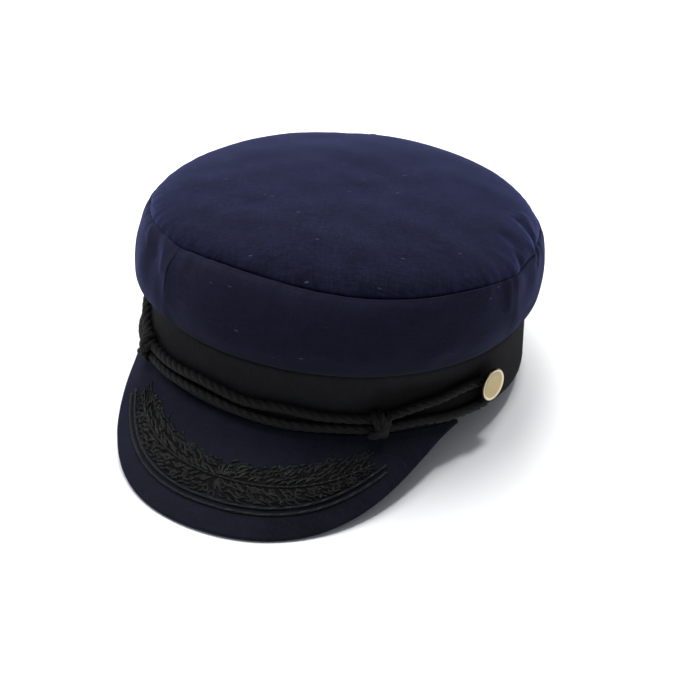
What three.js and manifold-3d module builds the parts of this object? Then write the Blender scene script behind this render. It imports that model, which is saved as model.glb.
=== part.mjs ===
// A soft peaked cap: domed cloth crown, ribbed band, stiff peak with leaf embroidery, and a doubled
// cord with two knots, held at the sides by two flat buttons.
//
// Millimetres. The front of the cap faces -Y, up is +Z and the wearer's left is +X. The cap is first
// made upright, with the foot of its band in the plane z = 0, and is then leaned back as it lies on a
// table: on the rear of the band and on the edge of the peak. Angles around the cap start at the
// front and grow towards the wearer's left.

import * as THREE from 'three';
import { mergeVertices } from 'three/addons/utils/BufferGeometryUtils.js';
import Module from 'manifold-3d';

const wasm = await Module();
wasm.setup();

// ---------------------------------------------------------------- driving dimensions

const GAP = 0.3; // clearance between pieces that touch

// The band narrows by its draft from the foot to the top.
const BAND = { halfWidth: 92.2, halfLength: 97.6, height: 29.5, draft: 1.5, wall: 2.2 };
const REST_LINE = 88; // the band is pressed flat on the table behind this y

const CROWN_WALL = 2;
const CROWN_FULLNESS = 2.07; // exponent of the crown's oval sections, 2 is an ellipse
const HEM_ROLL = 0.8; // how quickly the cloth rolls out above the hem, 1 is a plain sine
const DOME = { rise: 15.3, shoulder: 0.67 };
const CROWN_RINGS = {
  hemTurnIn: { height: 29.8, halfWidth: 88.5, halfLength: 93.9, shift: 0, slope: 0, wave: 0 },
  hem: { height: 29.8, halfWidth: 90.7, halfLength: 96.1, shift: 0, slope: 0, wave: 0 },
  bulge: { height: 48.7, halfWidth: 98.2, halfLength: 104, shift: -3.4, slope: 0.014, wave: 0 },
  seam: { height: 69.2, halfWidth: 94.1, halfLength: 94.1, shift: -1.5, slope: -0.014, wave: 1 },
  seamTurnIn: { height: 69.2, halfWidth: 91.2, halfLength: 91.2, shift: -1.5, slope: -0.014, wave: 1 },
};
const CROWN_LEVELS = [-1, 0, 0.15, 0.45, 0.75, 1, 1.33, 1.67, 2, 3];
const CROWN_COLUMN_ANGLE = 5.6;
const CROWN_PANELS = [
  { name: 'crown_panel_front', from: -29, to: 84 },
  { name: 'crown_panel_left', from: 84, to: 207 },
  { name: 'crown_panel_right', from: 207, to: 331 },
];
// The tip's seam is lower at the sides than at the front and rear, rides up and down a little on the
// way round, and dips where a panel ends.
const SEAM_SADDLE = 2.6;
const SEAM_EASE = [
  { angle: -29, spread: 9, rise: -1.2 },
  { angle: -8, spread: 14, rise: 0.9 },
  { angle: 27, spread: 18, rise: -1.1 },
  { angle: 64, spread: 14, rise: 1.1 },
  { angle: 84, spread: 9, rise: -1 },
  { angle: 207, spread: 10, rise: -1 },
];
// Soft dents where the cloth is eased in beside the upright seams, and a fuller place at the right.
const CROWN_DENTS = [
  { angle: -21, height: 58, angleSpread: 5, heightSpread: 13, depth: 1.3 },
  { angle: -38, height: 60, angleSpread: 5, heightSpread: 12, depth: 1.5 },
  { angle: 76, height: 60, angleSpread: 5, heightSpread: 11, depth: 1.2 },
  { angle: 93, height: 61, angleSpread: 5, heightSpread: 14, depth: 1.6 },
  { angle: 106, height: 68, angleSpread: 4, heightSpread: 9, depth: 1.2 },
  { angle: 198, height: 59, angleSpread: 5, heightSpread: 12, depth: 1.2 },
  { angle: 216, height: 59, angleSpread: 5, heightSpread: 12, depth: 1.2 },
  { angle: -50, height: 37, angleSpread: 18, heightSpread: 6, depth: -1.6 },
];

const PEAK = {
  reach: 43.5, // how far it stands out at the front, seen from above
  halfSpan: 65, // where it runs out beside the band
  taper: { span: 76.9, power: 2.24, sharpness: 3 },
  slope: 40.8,
  curl: { drop: 11.8, halfWidth: 90, reach: 40 }, // extra drop of the sides
  wall: 3,
  lip: 0.9, // round of the outer edge
};

const CRESCENT = { pull: 0.21, span: 40 }; // the ends of the embroidery turn in towards the band
const EMBROIDERY = {
  middle: 0.53, // of the peak's reach, where the stem runs
  halfBreadth: 0.16, // of the peak's reach
  halfSpan: 37,
  relief: 0.9,
  stem: { width: 1.8, relief: 0.7 },
  leafPairs: 8,
  firstPair: 1.7,
  pairPitch: 4.7,
  splay: 42,
  lengthToBreadth: 1.45,
  widthToLength: 0.44,
  taper: 0.37, // the leaves are shorter towards the ends
};
const BORDER = { middle: 0.755, halfSpan: 40, pitch: 3, crest: 1.7, relief: 0.9 };

const CORD = { diameter: 4.7, sides: 8, steps: 56 };
const BUTTON = {
  angles: { left: 74.6, right: -80.5 },
  height: 15.2,
  diameter: 16.4,
  thickness: 1.9,
  rimWidth: 0.9,
  rimRaise: 0.3,
  shankDiameter: 3,
};
// The cord's two runs, from the wearer's right to the left: angle around the cap, height on the band
// and distance of the cord's middle from the band. The ends of both are held under the buttons.
const CORD_ROUTES = {
  cord_upper: [
    { angle: -78.6, height: 16.9, out: 2.7 },
    { angle: -74, height: 17.4, out: 2.7 },
    { angle: -69, height: 17.6, out: 2.8 },
    { angle: -64, height: 16.6, out: 2.9 },
    { angle: -58, height: 14.6, out: 3 },
    { angle: -51.5, height: 11.2, out: 3 },
    { angle: -45, height: 9.7, out: 2.9 },
    { angle: -39, height: 9.6, out: 2.7 },
    { angle: -32, height: 10.1, out: 2.7 },
    { angle: -25, height: 10.9, out: 2.7 },
    { angle: -16, height: 11.9, out: 2.7 },
    { angle: -8.5, height: 11.1, out: 2.7 },
    { angle: -1.6, height: 9.9, out: 2.7 },
    { angle: 4.6, height: 10.2, out: 2.7 },
    { angle: 10.5, height: 10.9, out: 2.7 },
    { angle: 16.3, height: 10.3, out: 2.7 },
    { angle: 22, height: 9.4, out: 2.7 },
    { angle: 30, height: 8.9, out: 2.7 },
    { angle: 38.6, height: 8.6, out: 2.7 },
    { angle: 43, height: 10.2, out: 2.7 },
    { angle: 50, height: 13, out: 2.7 },
    { angle: 57, height: 14.6, out: 2.7 },
    { angle: 64, height: 16.6, out: 2.7 },
    { angle: 69, height: 17, out: 2.7 },
    { angle: 72.7, height: 16.7, out: 2.7 },
  ],
  cord_lower: [
    { angle: -83.3, height: 12.4, out: 2.7 },
    { angle: -83.7, height: 9.6, out: 2.7 },
    { angle: -82.9, height: 6.6, out: 2.7 },
    { angle: -80.9, height: 4.8, out: 2.7 },
    { angle: -76, height: 4.4, out: 2.7 },
    { angle: -71, height: 4.3, out: 3 },
    { angle: -64, height: 4.3, out: 3.6 },
    { angle: -57, height: 4.2, out: 3.8 },
    { angle: -51, height: 4.2, out: 3.5 },
    { angle: -45, height: 4.2, out: 2.9 },
    { angle: -37, height: 4.2, out: 2.7 },
    { angle: -31, height: 4.4, out: 2.7 },
    { angle: -24, height: 5, out: 2.7 },
    { angle: -17, height: 5.2, out: 2.7 },
    { angle: -8, height: 4.8, out: 2.7 },
    { angle: -1.3, height: 4.1, out: 2.7 },
    { angle: 5, height: 3.5, out: 2.7 },
    { angle: 11, height: 3.2, out: 2.7 },
    { angle: 17, height: 3.3, out: 2.7 },
    { angle: 28, height: 3.8, out: 2.7 },
    { angle: 38.6, height: 3.4, out: 2.7 },
    { angle: 44, height: 4.5, out: 2.7 },
    { angle: 51, height: 5.2, out: 2.7 },
    { angle: 60, height: 4.2, out: 2.7 },
    { angle: 71, height: 4.3, out: 2.7 },
    { angle: 75, height: 4.8, out: 2.7 },
    { angle: 77, height: 6.6, out: 2.7 },
    { angle: 77.8, height: 9.6, out: 2.7 },
    { angle: 77.4, height: 12.4, out: 2.7 },
  ],
};
const KNOTS = [
  { name: 'knot_right', angle: -45, height: 6.95 },
  { name: 'knot_left', angle: 38.6, height: 6.15 },
];
const KNOT = { halfLength: 5.6, halfHeight: 6.4, halfDepth: 4.6, centreOut: 3.2 };

// ---------------------------------------------------------------- materials

const cloth = (colour) => new THREE.MeshStandardMaterial({ color: colour, roughness: 0.95, metalness: 0 });
const NAVY_CLOTH = cloth('#1b1c38');
const NAVY_PEAK_CLOTH = cloth('#181a2e');
const BLACK_RIBBON = cloth('#141315');
const BLACK_CORD = cloth('#17171a');
const BLACK_THREAD = cloth('#1d1d1f');
const PALE_GOLD = new THREE.MeshStandardMaterial({ color: '#c9b488', roughness: 0.35, metalness: 1 });

// ---------------------------------------------------------------- geometry helpers

const radians = THREE.MathUtils.degToRad;
const signedPower = (value, power) => Math.sign(value) * Math.abs(value) ** power;
const bump = (distance, spread) => Math.exp(-((distance / spread) ** 2));

function angleBetween(a, b) {
  return THREE.MathUtils.euclideanModulo(a - b + 180, 360) - 180;
}

function solidFrom(positions, triangles) {
  const geometry = new THREE.BufferGeometry();
  const flat = positions.flatMap((point) => [point.x, point.y, point.z]);
  geometry.setAttribute('position', new THREE.Float32BufferAttribute(flat, 3));
  geometry.setIndex(triangles);
  return geometry;
}

// A sheet of even thickness as a closed body. face(u, v) gives its outer face, with u and v from 0
// to 1 and du x dv pointing out. A closed sheet joins up in u. A pole closes the sheet to a point
// at v = 1. lip rounds the rim at v = 1.
function sheet(face, { columns, rows, wall, closed = false, pole = false, lip = 0 }) {
  const step = 1e-3;
  const clamp = (value) => THREE.MathUtils.clamp(value, 0, 1);
  const slopeAlong = (u, v, du, dv) => {
    const start = closed ? u - du : clamp(u - du);
    const end = closed ? u + du : clamp(u + du);
    return face(end, clamp(v + dv)).sub(face(start, clamp(v - dv)));
  };
  const normalAt = (u, v) => slopeAlong(u, v, step, 0).cross(slopeAlong(u, v, 0, step)).normalize();

  const width = closed ? columns : columns + 1;
  const ringCount = pole ? rows : rows + 1;
  const outer = [];
  const inner = [];
  for (let row = 0; row < ringCount; row += 1) {
    for (let column = 0; column < width; column += 1) {
      const u = column / columns;
      const v = row / rows;
      const point = face(u, v);
      outer.push(point);
      inner.push(point.clone().addScaledVector(normalAt(u, v), -wall));
    }
  }
  const points = [...outer, ...inner];
  const insideOf = (index) => index + outer.length;
  const at = (row, column) => row * width + (column % width);
  const triangles = [];
  const quad = (a, b, c, d) => triangles.push(a, b, c, a, c, d);

  for (let row = 0; row < ringCount - 1; row += 1) {
    for (let column = 0; column < columns; column += 1) {
      const corners = [at(row, column), at(row, column + 1), at(row + 1, column + 1), at(row + 1, column)];
      quad(...corners);
      quad(...corners.map(insideOf).reverse());
    }
  }
  const rim = (edge, bulge) => {
    const joins = edge.length - (closed ? 0 : 1);
    if (bulge === 0) {
      for (let i = 0; i < joins; i += 1) {
        const [a, b] = [edge[i], edge[(i + 1) % edge.length]];
        quad(a, b, insideOf(b), insideOf(a));
      }
      return;
    }
    const middle = edge.map((index) => {
      const outward = points[index].clone().sub(points[index - width]).normalize();
      const centre = points[index].clone().lerp(points[insideOf(index)], 0.5);
      return points.push(centre.addScaledVector(outward, bulge)) - 1;
    });
    for (let i = 0; i < joins; i += 1) {
      const next = (i + 1) % edge.length;
      quad(edge[i], edge[next], middle[next], middle[i]);
      quad(middle[i], middle[next], insideOf(edge[next]), insideOf(edge[i]));
    }
    if (!closed) {
      const [first, last] = [0, edge.length - 1];
      triangles.push(edge[first], middle[first], insideOf(edge[first]));
      triangles.push(edge[last], insideOf(edge[last]), middle[last]);
    }
  };
  const columnsOf = (row) => Array.from({ length: width }, (_, column) => at(row, column));
  rim(columnsOf(0).reverse(), 0);
  if (pole) {
    const top = points.push(face(0, 1)) - 1;
    const under = points.push(points[top].clone().setZ(points[top].z - wall)) - 1;
    for (let column = 0; column < columns; column += 1) {
      const [a, b] = [at(ringCount - 1, column), at(ringCount - 1, column + 1)];
      triangles.push(a, b, top, insideOf(b), insideOf(a), under);
    }
  } else {
    rim(columnsOf(ringCount - 1), lip);
  }
  if (!closed) {
    for (let row = 0; row < ringCount - 1; row += 1) {
      const [low, high] = [at(row, 0), at(row + 1, 0)];
      const [lowEnd, highEnd] = [at(row, columns), at(row + 1, columns)];
      quad(low, high, insideOf(high), insideOf(low));
      quad(highEnd, lowEnd, insideOf(lowEnd), insideOf(highEnd));
    }
  }
  return solidFrom(points, triangles);
}

function toManifold(geometry) {
  const bare = geometry.clone();
  bare.deleteAttribute('normal');
  bare.deleteAttribute('uv');
  const merged = mergeVertices(bare, 1e-4);
  const vertProperties = new Float32Array(merged.attributes.position.array);
  const triVerts = new Uint32Array(merged.index.array);
  return new wasm.Manifold(new wasm.Mesh({ numProp: 3, vertProperties, triVerts }));
}

function fromManifold(solid) {
  const mesh = solid.getMesh();
  const geometry = new THREE.BufferGeometry();
  geometry.setAttribute('position', new THREE.BufferAttribute(mesh.vertProperties, 3));
  geometry.setIndex(new THREE.BufferAttribute(mesh.triVerts, 1));
  return geometry;
}

function namedMesh(name, geometry, material) {
  const mesh = new THREE.Mesh(geometry, material);
  mesh.name = name;
  return mesh;
}

// ---------------------------------------------------------------- band

// A point on the band's outer face, set out from it by a distance.
function besideBand(angle, height, out = 0) {
  const turn = radians(angle);
  const narrower = (BAND.draft * height) / BAND.height;
  const halfWidth = BAND.halfWidth - narrower;
  const halfLength = BAND.halfLength - narrower;
  const outward = new THREE.Vector3(Math.sin(turn) / halfWidth, -Math.cos(turn) / halfLength, 0).normalize();
  const place = new THREE.Vector3(halfWidth * Math.sin(turn), -halfLength * Math.cos(turn), height);
  return place.addScaledVector(outward, out);
}

// The foot of the band is cut to the table, which rises through it behind REST_LINE.
function makeBand(lean) {
  const columns = 60;
  const foot = (point) => Math.max(0, Math.tan(lean) * (point.y - REST_LINE));
  const points = [];
  const triangles = [];
  for (let column = 0; column < columns; column += 1) {
    const angle = (360 * column) / columns;
    const outside = besideBand(angle, 0);
    const inside = besideBand(angle, 0, -BAND.wall);
    points.push(outside.setZ(foot(outside)), besideBand(angle, BAND.height));
    points.push(besideBand(angle, BAND.height, -BAND.wall), inside.setZ(foot(inside)));
  }
  for (let column = 0; column < columns; column += 1) {
    for (let side = 0; side < 4; side += 1) {
      const next = (column + 1) % columns;
      const [a, b] = [4 * column + side, 4 * next + side];
      const [c, d] = [4 * next + ((side + 1) % 4), 4 * column + ((side + 1) % 4)];
      triangles.push(a, b, c, a, c, d);
    }
  }
  return namedMesh('band', solidFrom(points, triangles), BLACK_RIBBON);
}

// ---------------------------------------------------------------- crown

const mixRings = (from, to, sizeShare, heightShare) => ({
  height: THREE.MathUtils.lerp(from.height, to.height, heightShare),
  halfWidth: THREE.MathUtils.lerp(from.halfWidth, to.halfWidth, sizeShare),
  halfLength: THREE.MathUtils.lerp(from.halfLength, to.halfLength, sizeShare),
  shift: THREE.MathUtils.lerp(from.shift, to.shift, sizeShare),
  slope: THREE.MathUtils.lerp(from.slope, to.slope, heightShare),
  wave: THREE.MathUtils.lerp(from.wave, to.wave, heightShare),
});

function seamEase(angle) {
  return SEAM_EASE.reduce((sum, row) => sum + row.rise * bump(angleBetween(angle, row.angle), row.spread), 0);
}

function onRing(ring, angle, scale = 1) {
  const turn = radians(angle);
  const power = 2 / CROWN_FULLNESS;
  const x = ring.halfWidth * scale * signedPower(Math.sin(turn), power);
  const y = ring.shift - ring.halfLength * scale * signedPower(Math.cos(turn), power);
  const wave = SEAM_SADDLE * Math.cos(2 * turn) * scale ** 2 + seamEase(angle) * scale ** 6;
  return new THREE.Vector3(x, y, ring.height + ring.slope * y + ring.wave * wave);
}

function dented(point, angle, fade = 1) {
  const depth = CROWN_DENTS.reduce((sum, dent) => {
    const around = bump(angleBetween(angle, dent.angle), dent.angleSpread);
    return sum + dent.depth * around * bump(point.z - dent.height, dent.heightSpread);
  }, 0);
  const inward = new THREE.Vector3(-point.x, -point.y, 0).normalize();
  return point.addScaledVector(inward, depth * fade);
}

// level: 0 at the hem, 1 at the widest place and 2 at the tip's seam, with the cloth that is turned
// in below the hem and inside the seam running on to -1 and 3
function crownSide(angle, level) {
  const { hemTurnIn, hem, bulge, seam, seamTurnIn } = CROWN_RINGS;
  const quarter = Math.PI / 2;
  if (level <= 0) {
    return onRing(mixRings(hem, hemTurnIn, -level, -level), angle);
  }
  if (level <= 1) {
    const fade = Math.min(1, level * 3);
    const swell = Math.sin(level * quarter) ** HEM_ROLL;
    return dented(onRing(mixRings(hem, bulge, swell, level), angle), angle, fade);
  }
  if (level <= 2) {
    const turn = (level - 1) * quarter;
    return dented(onRing(mixRings(bulge, seam, 1 - Math.cos(turn), Math.sin(turn)), angle), angle);
  }
  return dented(onRing(mixRings(seam, seamTurnIn, level - 2, level - 2), angle), angle);
}

function makeCrownPanel({ name, from, to }) {
  const gapAngle = (GAP / 2 / BAND.halfLength) * THREE.MathUtils.RAD2DEG;
  const start = from + gapAngle;
  const end = to - gapAngle;
  const rows = CROWN_LEVELS.length - 1;
  const face = (u, v) => {
    const row = Math.min(Math.floor(v * rows), rows - 1);
    const level = THREE.MathUtils.lerp(CROWN_LEVELS[row], CROWN_LEVELS[row + 1], v * rows - row);
    return crownSide(THREE.MathUtils.lerp(start, end, u), level);
  };
  const columns = Math.round((to - from) / CROWN_COLUMN_ANGLE);
  return namedMesh(name, sheet(face, { columns, rows, wall: CROWN_WALL }), NAVY_CLOTH);
}

function makeCrownTip() {
  const face = (u, v) => {
    const angle = 360 * u;
    const turn = (v * Math.PI) / 2;
    const scale = Math.max(Math.cos(turn), 0) ** DOME.shoulder;
    const point = onRing(CROWN_RINGS.seam, angle, scale);
    point.z += GAP + DOME.rise * Math.sin(turn);
    return v < 1 ? dented(point, angle, 1 - v) : point;
  };
  const geometry = sheet(face, { columns: 60, rows: 6, wall: CROWN_WALL, closed: true, pole: true });
  return namedMesh('crown_tip', geometry, NAVY_CLOTH);
}

// ---------------------------------------------------------------- peak

function peakReach(angle) {
  const { span, power, sharpness } = PEAK.taper;
  return PEAK.reach * (1 - Math.abs(angle / span) ** power) ** sharpness;
}

// A point on the peak's upper face: angle around the cap, and distance out from the band in plan.
function onPeak(angle, out) {
  const point = besideBand(angle, 0, out);
  const away = Math.max(out, 0);
  const { drop, halfWidth, reach } = PEAK.curl;
  const curl = drop * (point.x / halfWidth) ** 2 * Math.min(away / reach, 1);
  point.z = -GAP - Math.tan(radians(PEAK.slope)) * away - curl;
  return point;
}

// The same face, lifted off square to it.
function abovePeak(angle, out, lift) {
  const step = 0.05;
  const around = onPeak(angle + step, out).sub(onPeak(angle - step, out));
  const outward = onPeak(angle, out + step).sub(onPeak(angle, out - step));
  return onPeak(angle, out).addScaledVector(outward.cross(around).normalize(), lift);
}

// The peak's rear edge is tucked under the foot of the band.
function makePeak() {
  const rows = 7;
  const face = (u, v) => {
    const angle = THREE.MathUtils.lerp(-PEAK.halfSpan, PEAK.halfSpan, u);
    const share = v * rows - 1;
    const out = share < 0 ? share * BAND.wall : (share / (rows - 1)) * (peakReach(angle) - PEAK.lip);
    return onPeak(angle, out);
  };
  // u runs towards +X along the front and v outwards, so the upper face is turned by swapping u
  const turned = (u, v) => face(1 - u, v);
  const geometry = sheet(turned, { columns: 36, rows, wall: PEAK.wall, lip: PEAK.lip });
  return namedMesh('peak', geometry, NAVY_PEAK_CLOTH);
}

// ---------------------------------------------------------------- embroidery

// How far out a share of the peak's reach lies on the crescent of the embroidery.
function onCrescent(angle, share) {
  return share * peakReach(angle) * (1 - CRESCENT.pull * Math.abs(angle / CRESCENT.span) ** 3);
}

// Local directions on the peak around a place on the stem: x runs along the stem to the wearer's
// left and y up to the band, in millimetres there. Both follow the crescent as it narrows.
function stitchPlace(angle) {
  const share = Math.cos(radians(PEAK.slope)) / onCrescent(angle, 1);
  const radius = BAND.halfLength + onCrescent(angle, EMBROIDERY.middle);
  return (x, y, lift) => {
    const turned = angle + (x * THREE.MathUtils.RAD2DEG) / radius;
    return abovePeak(turned, onCrescent(turned, EMBROIDERY.middle - y * share), lift);
  };
}

// A leaf as a low closed body: pointed at both ends, highest along its middle.
function leaf(place, length, width, heading) {
  const stations = 4;
  const base = GAP;
  const [cos, sin] = [Math.cos(radians(heading)), Math.sin(radians(heading))];
  const at = (along, across, lift) => place(along * cos - across * sin, along * sin + across * cos, lift);
  const points = [at(0, 0, base), at(length, 0, base)];
  for (let i = 1; i < stations; i += 1) {
    const share = i / stations;
    const half = (width / 2) * Math.sin(Math.PI * share ** 0.85);
    points.push(at(share * length, -half, base), at(share * length, half, base));
    points.push(at(share * length, 0, base + EMBROIDERY.relief * Math.sin(Math.PI * share) ** 0.5));
    points.push(at(share * length, 0, base));
  }
  const first = 2;
  const last = 2 + 4 * (stations - 2);
  const [left, right, top, under] = [0, 1, 2, 3];
  const triangles = [];
  triangles.push(0, first + left, first + top, 0, first + top, first + right);
  triangles.push(0, first + under, first + left, 0, first + right, first + under);
  triangles.push(1, last + top, last + left, 1, last + right, last + top);
  triangles.push(1, last + left, last + under, 1, last + under, last + right);
  for (let near = first; near < last; near += 4) {
    const far = near + 4;
    for (const [p, q] of [[left, top], [top, right], [right, under], [under, left]]) {
      triangles.push(near + p, far + p, far + q, near + p, far + q, near + q);
    }
  }
  return solidFrom(points, triangles);
}

// A flat-footed strip along the peak. section rows: distance across in millimetres, and lift.
function strip(outAt, halfSpan, section) {
  const columns = 36;
  const slant = Math.cos(radians(PEAK.slope));
  const points = [];
  const triangles = [];
  const count = section.length;
  for (let column = 0; column <= columns; column += 1) {
    const angle = THREE.MathUtils.lerp(-halfSpan, halfSpan, column / columns);
    for (const { across, lift } of section) {
      points.push(abovePeak(angle, outAt(angle) + across * slant, GAP + lift));
    }
  }
  for (let column = 0; column < columns; column += 1) {
    for (let i = 0; i < count; i += 1) {
      const [a, b] = [column * count + i, column * count + ((i + 1) % count)];
      triangles.push(a, b, b + count, a, b + count, a + count);
    }
  }
  const end = columns * count;
  for (let i = 1; i < count - 1; i += 1) {
    triangles.push(0, i + 1, i, end, end + i, end + i + 1);
  }
  return solidFrom(points, triangles);
}

function makeLeafEmbroidery() {
  const { stem } = EMBROIDERY;
  const stemSection = [
    { across: -stem.width / 2, lift: 0 },
    { across: -stem.width / 4, lift: stem.relief },
    { across: stem.width / 4, lift: stem.relief },
    { across: stem.width / 2, lift: 0 },
  ];
  const middleAt = (angle) => onCrescent(angle, EMBROIDERY.middle);
  let solid = toManifold(strip(middleAt, EMBROIDERY.halfSpan, stemSection));
  for (const side of [-1, 1]) {
    for (let pair = 0; pair < EMBROIDERY.leafPairs; pair += 1) {
      const angle = EMBROIDERY.firstPair + pair * EMBROIDERY.pairPitch;
      const breadth = onCrescent(angle, EMBROIDERY.halfBreadth) / Math.cos(radians(PEAK.slope));
      const shorter = 1 - EMBROIDERY.taper * (angle / CRESCENT.span) ** 3;
      const length = breadth * EMBROIDERY.lengthToBreadth * shorter;
      for (const splay of [EMBROIDERY.splay, -EMBROIDERY.splay]) {
        const place = stitchPlace(side * angle);
        const heading = side > 0 ? splay : 180 - splay;
        const shape = leaf(place, length, length * EMBROIDERY.widthToLength, heading);
        solid = solid.add(toManifold(shape));
      }
    }
  }
  return namedMesh('leaf_embroidery', fromManifold(solid), BLACK_THREAD);
}

function makeBorderEmbroidery() {
  const { middle, halfSpan, pitch, crest, relief } = BORDER;
  const outer = (pitch + crest) / 2;
  const section = [
    { across: -outer, lift: 0 },
    { across: -pitch / 2, lift: relief },
    { across: -(pitch - crest) / 2, lift: relief * 0.4 },
    { across: (pitch - crest) / 2, lift: relief * 0.4 },
    { across: pitch / 2, lift: relief },
    { across: outer, lift: 0 },
  ];
  const geometry = strip((angle) => onCrescent(angle, middle), halfSpan, section);
  return namedMesh('border_embroidery', geometry, BLACK_THREAD);
}

// ---------------------------------------------------------------- cord, knots and buttons

function cordCurve(name) {
  const points = CORD_ROUTES[name].map(({ angle, height, out }) => besideBand(angle, height, out));
  return new THREE.CatmullRomCurve3(points, false, 'centripetal');
}

function cordGeometry(curve, radius) {
  const section = new THREE.Shape();
  section.absarc(0, 0, radius, 0, 2 * Math.PI);
  return new THREE.ExtrudeGeometry(section, {
    steps: CORD.steps,
    curveSegments: CORD.sides / 2,
    extrudePath: curve,
    bevelEnabled: false,
  });
}

function makeCord(name) {
  return namedMesh(name, cordGeometry(cordCurve(name), CORD.diameter / 2), BLACK_CORD);
}

// A knot is a rounded lump around both runs, hollowed where they and the band pass.
function makeKnot({ name, angle, height }) {
  const { halfLength, halfHeight, halfDepth, centreOut } = KNOT;
  const lump = new THREE.SphereGeometry(1, 12, 8);
  lump.scale(halfLength, halfDepth, halfHeight);
  const centre = besideBand(angle, height, centreOut);
  lump.applyMatrix4(new THREE.Matrix4().makeRotationZ(radians(angle)));
  lump.translate(centre.x, centre.y, centre.z);
  let solid = toManifold(lump);
  for (const run of Object.keys(CORD_ROUTES)) {
    solid = solid.subtract(toManifold(cordGeometry(cordCurve(run), CORD.diameter / 2 + GAP)));
  }
  const bandFace = (u, v) => besideBand(360 * u, BAND.height * (2 * v - 0.5), GAP);
  const bandBlock = sheet(bandFace, { columns: 60, rows: 1, wall: 20, closed: true });
  return namedMesh(name, fromManifold(solid.subtract(toManifold(bandBlock))), BLACK_CORD);
}

function makeButton(name, angle) {
  const { diameter, thickness, rimWidth, rimRaise, shankDiameter, height } = BUTTON;
  const radius = diameter / 2;
  const shank = shankDiameter / 2;
  const back = CORD.diameter + 2 * GAP;
  const face = back + thickness;
  const profile = [
    [0, GAP],
    [shank, GAP],
    [shank, back],
    [radius - 0.8, back],
    [radius, back + 0.7],
    [radius, face - 0.4],
    [radius - 0.4, face],
    [radius - rimWidth, face],
    [radius - rimWidth - 0.5, face - rimRaise],
    [0, face - rimRaise],
  ].map(([across, along]) => new THREE.Vector2(across, along));
  const button = namedMesh(name, new THREE.LatheGeometry(profile, 24), PALE_GOLD);
  const foot = besideBand(angle, height);
  const outward = besideBand(angle, height, 1).sub(foot);
  button.quaternion.setFromUnitVectors(new THREE.Vector3(0, 1, 0), outward);
  button.position.copy(foot);
  return button;
}

// ---------------------------------------------------------------- the cap

// The lean brings the underside of the peak's edge down to the table that the band's rear lies on.
function leanOf(peak) {
  const position = peak.geometry.attributes.position;
  let lean = 0;
  for (let i = 0; i < position.count; i += 1) {
    lean = Math.max(lean, Math.atan2(-position.getZ(i), REST_LINE - position.getY(i)));
  }
  return lean;
}

const peak = makePeak();
const lean = leanOf(peak);

const hat = new THREE.Group();
hat.add(
  makeCrownTip(),
  ...CROWN_PANELS.map(makeCrownPanel),
  makeBand(lean),
  peak,
  makeLeafEmbroidery(),
  makeBorderEmbroidery(),
  makeCord('cord_upper'),
  makeCord('cord_lower'),
  ...KNOTS.map(makeKnot),
  makeButton('button_right', BUTTON.angles.right),
  makeButton('button_left', BUTTON.angles.left),
);
hat.rotation.x = -lean;
hat.position.z = REST_LINE * Math.sin(lean);

// The origin is on the table, under the middle of the cap's length.
const extent = new THREE.Box3().setFromObject(hat, true);
hat.position.y = -(extent.min.y + extent.max.y) / 2;

const cap = new THREE.Group();
cap.add(hat);

export default cap;
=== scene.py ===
# %% [markdown]
# # A soft peaked cap
# The cap has a domed cloth crown in four pieces, a black ribbed band, a stiff cloth-covered peak with
# raised embroidery, a doubled twisted cord with two knots, and a flat button at each end of the cord.
# The frame below is the measured model: every piece here is made to its sizes and rides on it.

# %% Load the measured frame
import math
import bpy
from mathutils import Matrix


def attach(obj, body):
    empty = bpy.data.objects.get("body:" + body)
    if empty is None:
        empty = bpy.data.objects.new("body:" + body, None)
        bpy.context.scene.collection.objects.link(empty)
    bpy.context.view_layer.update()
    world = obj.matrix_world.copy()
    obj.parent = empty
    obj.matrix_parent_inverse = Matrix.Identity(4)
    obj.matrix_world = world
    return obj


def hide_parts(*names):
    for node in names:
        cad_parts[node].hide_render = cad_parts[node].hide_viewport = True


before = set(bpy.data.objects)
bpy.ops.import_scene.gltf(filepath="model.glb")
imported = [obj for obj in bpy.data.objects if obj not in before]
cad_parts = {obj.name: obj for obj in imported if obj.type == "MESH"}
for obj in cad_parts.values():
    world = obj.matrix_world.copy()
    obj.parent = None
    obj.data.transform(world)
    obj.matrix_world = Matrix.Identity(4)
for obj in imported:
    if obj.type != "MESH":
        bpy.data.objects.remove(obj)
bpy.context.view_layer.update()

from types import SimpleNamespace as Sizes

import bpy
import numpy as np
from mathutils import Vector


def add_object(name, data):
    """An object for a mesh, a lamp or a camera, linked to the scene."""
    made = bpy.data.objects.new(name, data)
    bpy.context.scene.collection.objects.link(made)
    return made


# %% [markdown]
# ## Camera
# A camera is a viewpoint and a lens. A long lens from more than a metre away keeps the cap's
# proportions natural. The lens could be guessed by eye, but here the viewpoint is given by two angles
# and a distance, so that it is easy to check and to move.

# %% Set up the camera
CAMERA_TURN, CAMERA_RISE = math.radians(26.18), math.radians(34.93)
CAMERA_DISTANCE, CAMERA_LENS = 1.3, 137.1
CAMERA_SHIFT = (0.0341, -0.0798)
LOOK_AT = Vector((0, 0.0067, 0.05))

backwards = Vector((
    math.sin(CAMERA_TURN) * math.cos(CAMERA_RISE),
    -math.cos(CAMERA_TURN) * math.cos(CAMERA_RISE),
    math.sin(CAMERA_RISE),
))
camera = add_object("camera", bpy.data.cameras.new("camera"))
camera.location = LOOK_AT + backwards * CAMERA_DISTANCE
camera.rotation_euler = backwards.to_track_quat("Z", "Y").to_euler()
camera.data.lens = CAMERA_LENS
camera.data.shift_x, camera.data.shift_y = CAMERA_SHIFT
bpy.context.scene.camera = camera
bpy.context.scene.view_settings.view_transform = "Standard"
print("camera at, m:", [round(side, 3) for side in camera.location])

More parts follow.
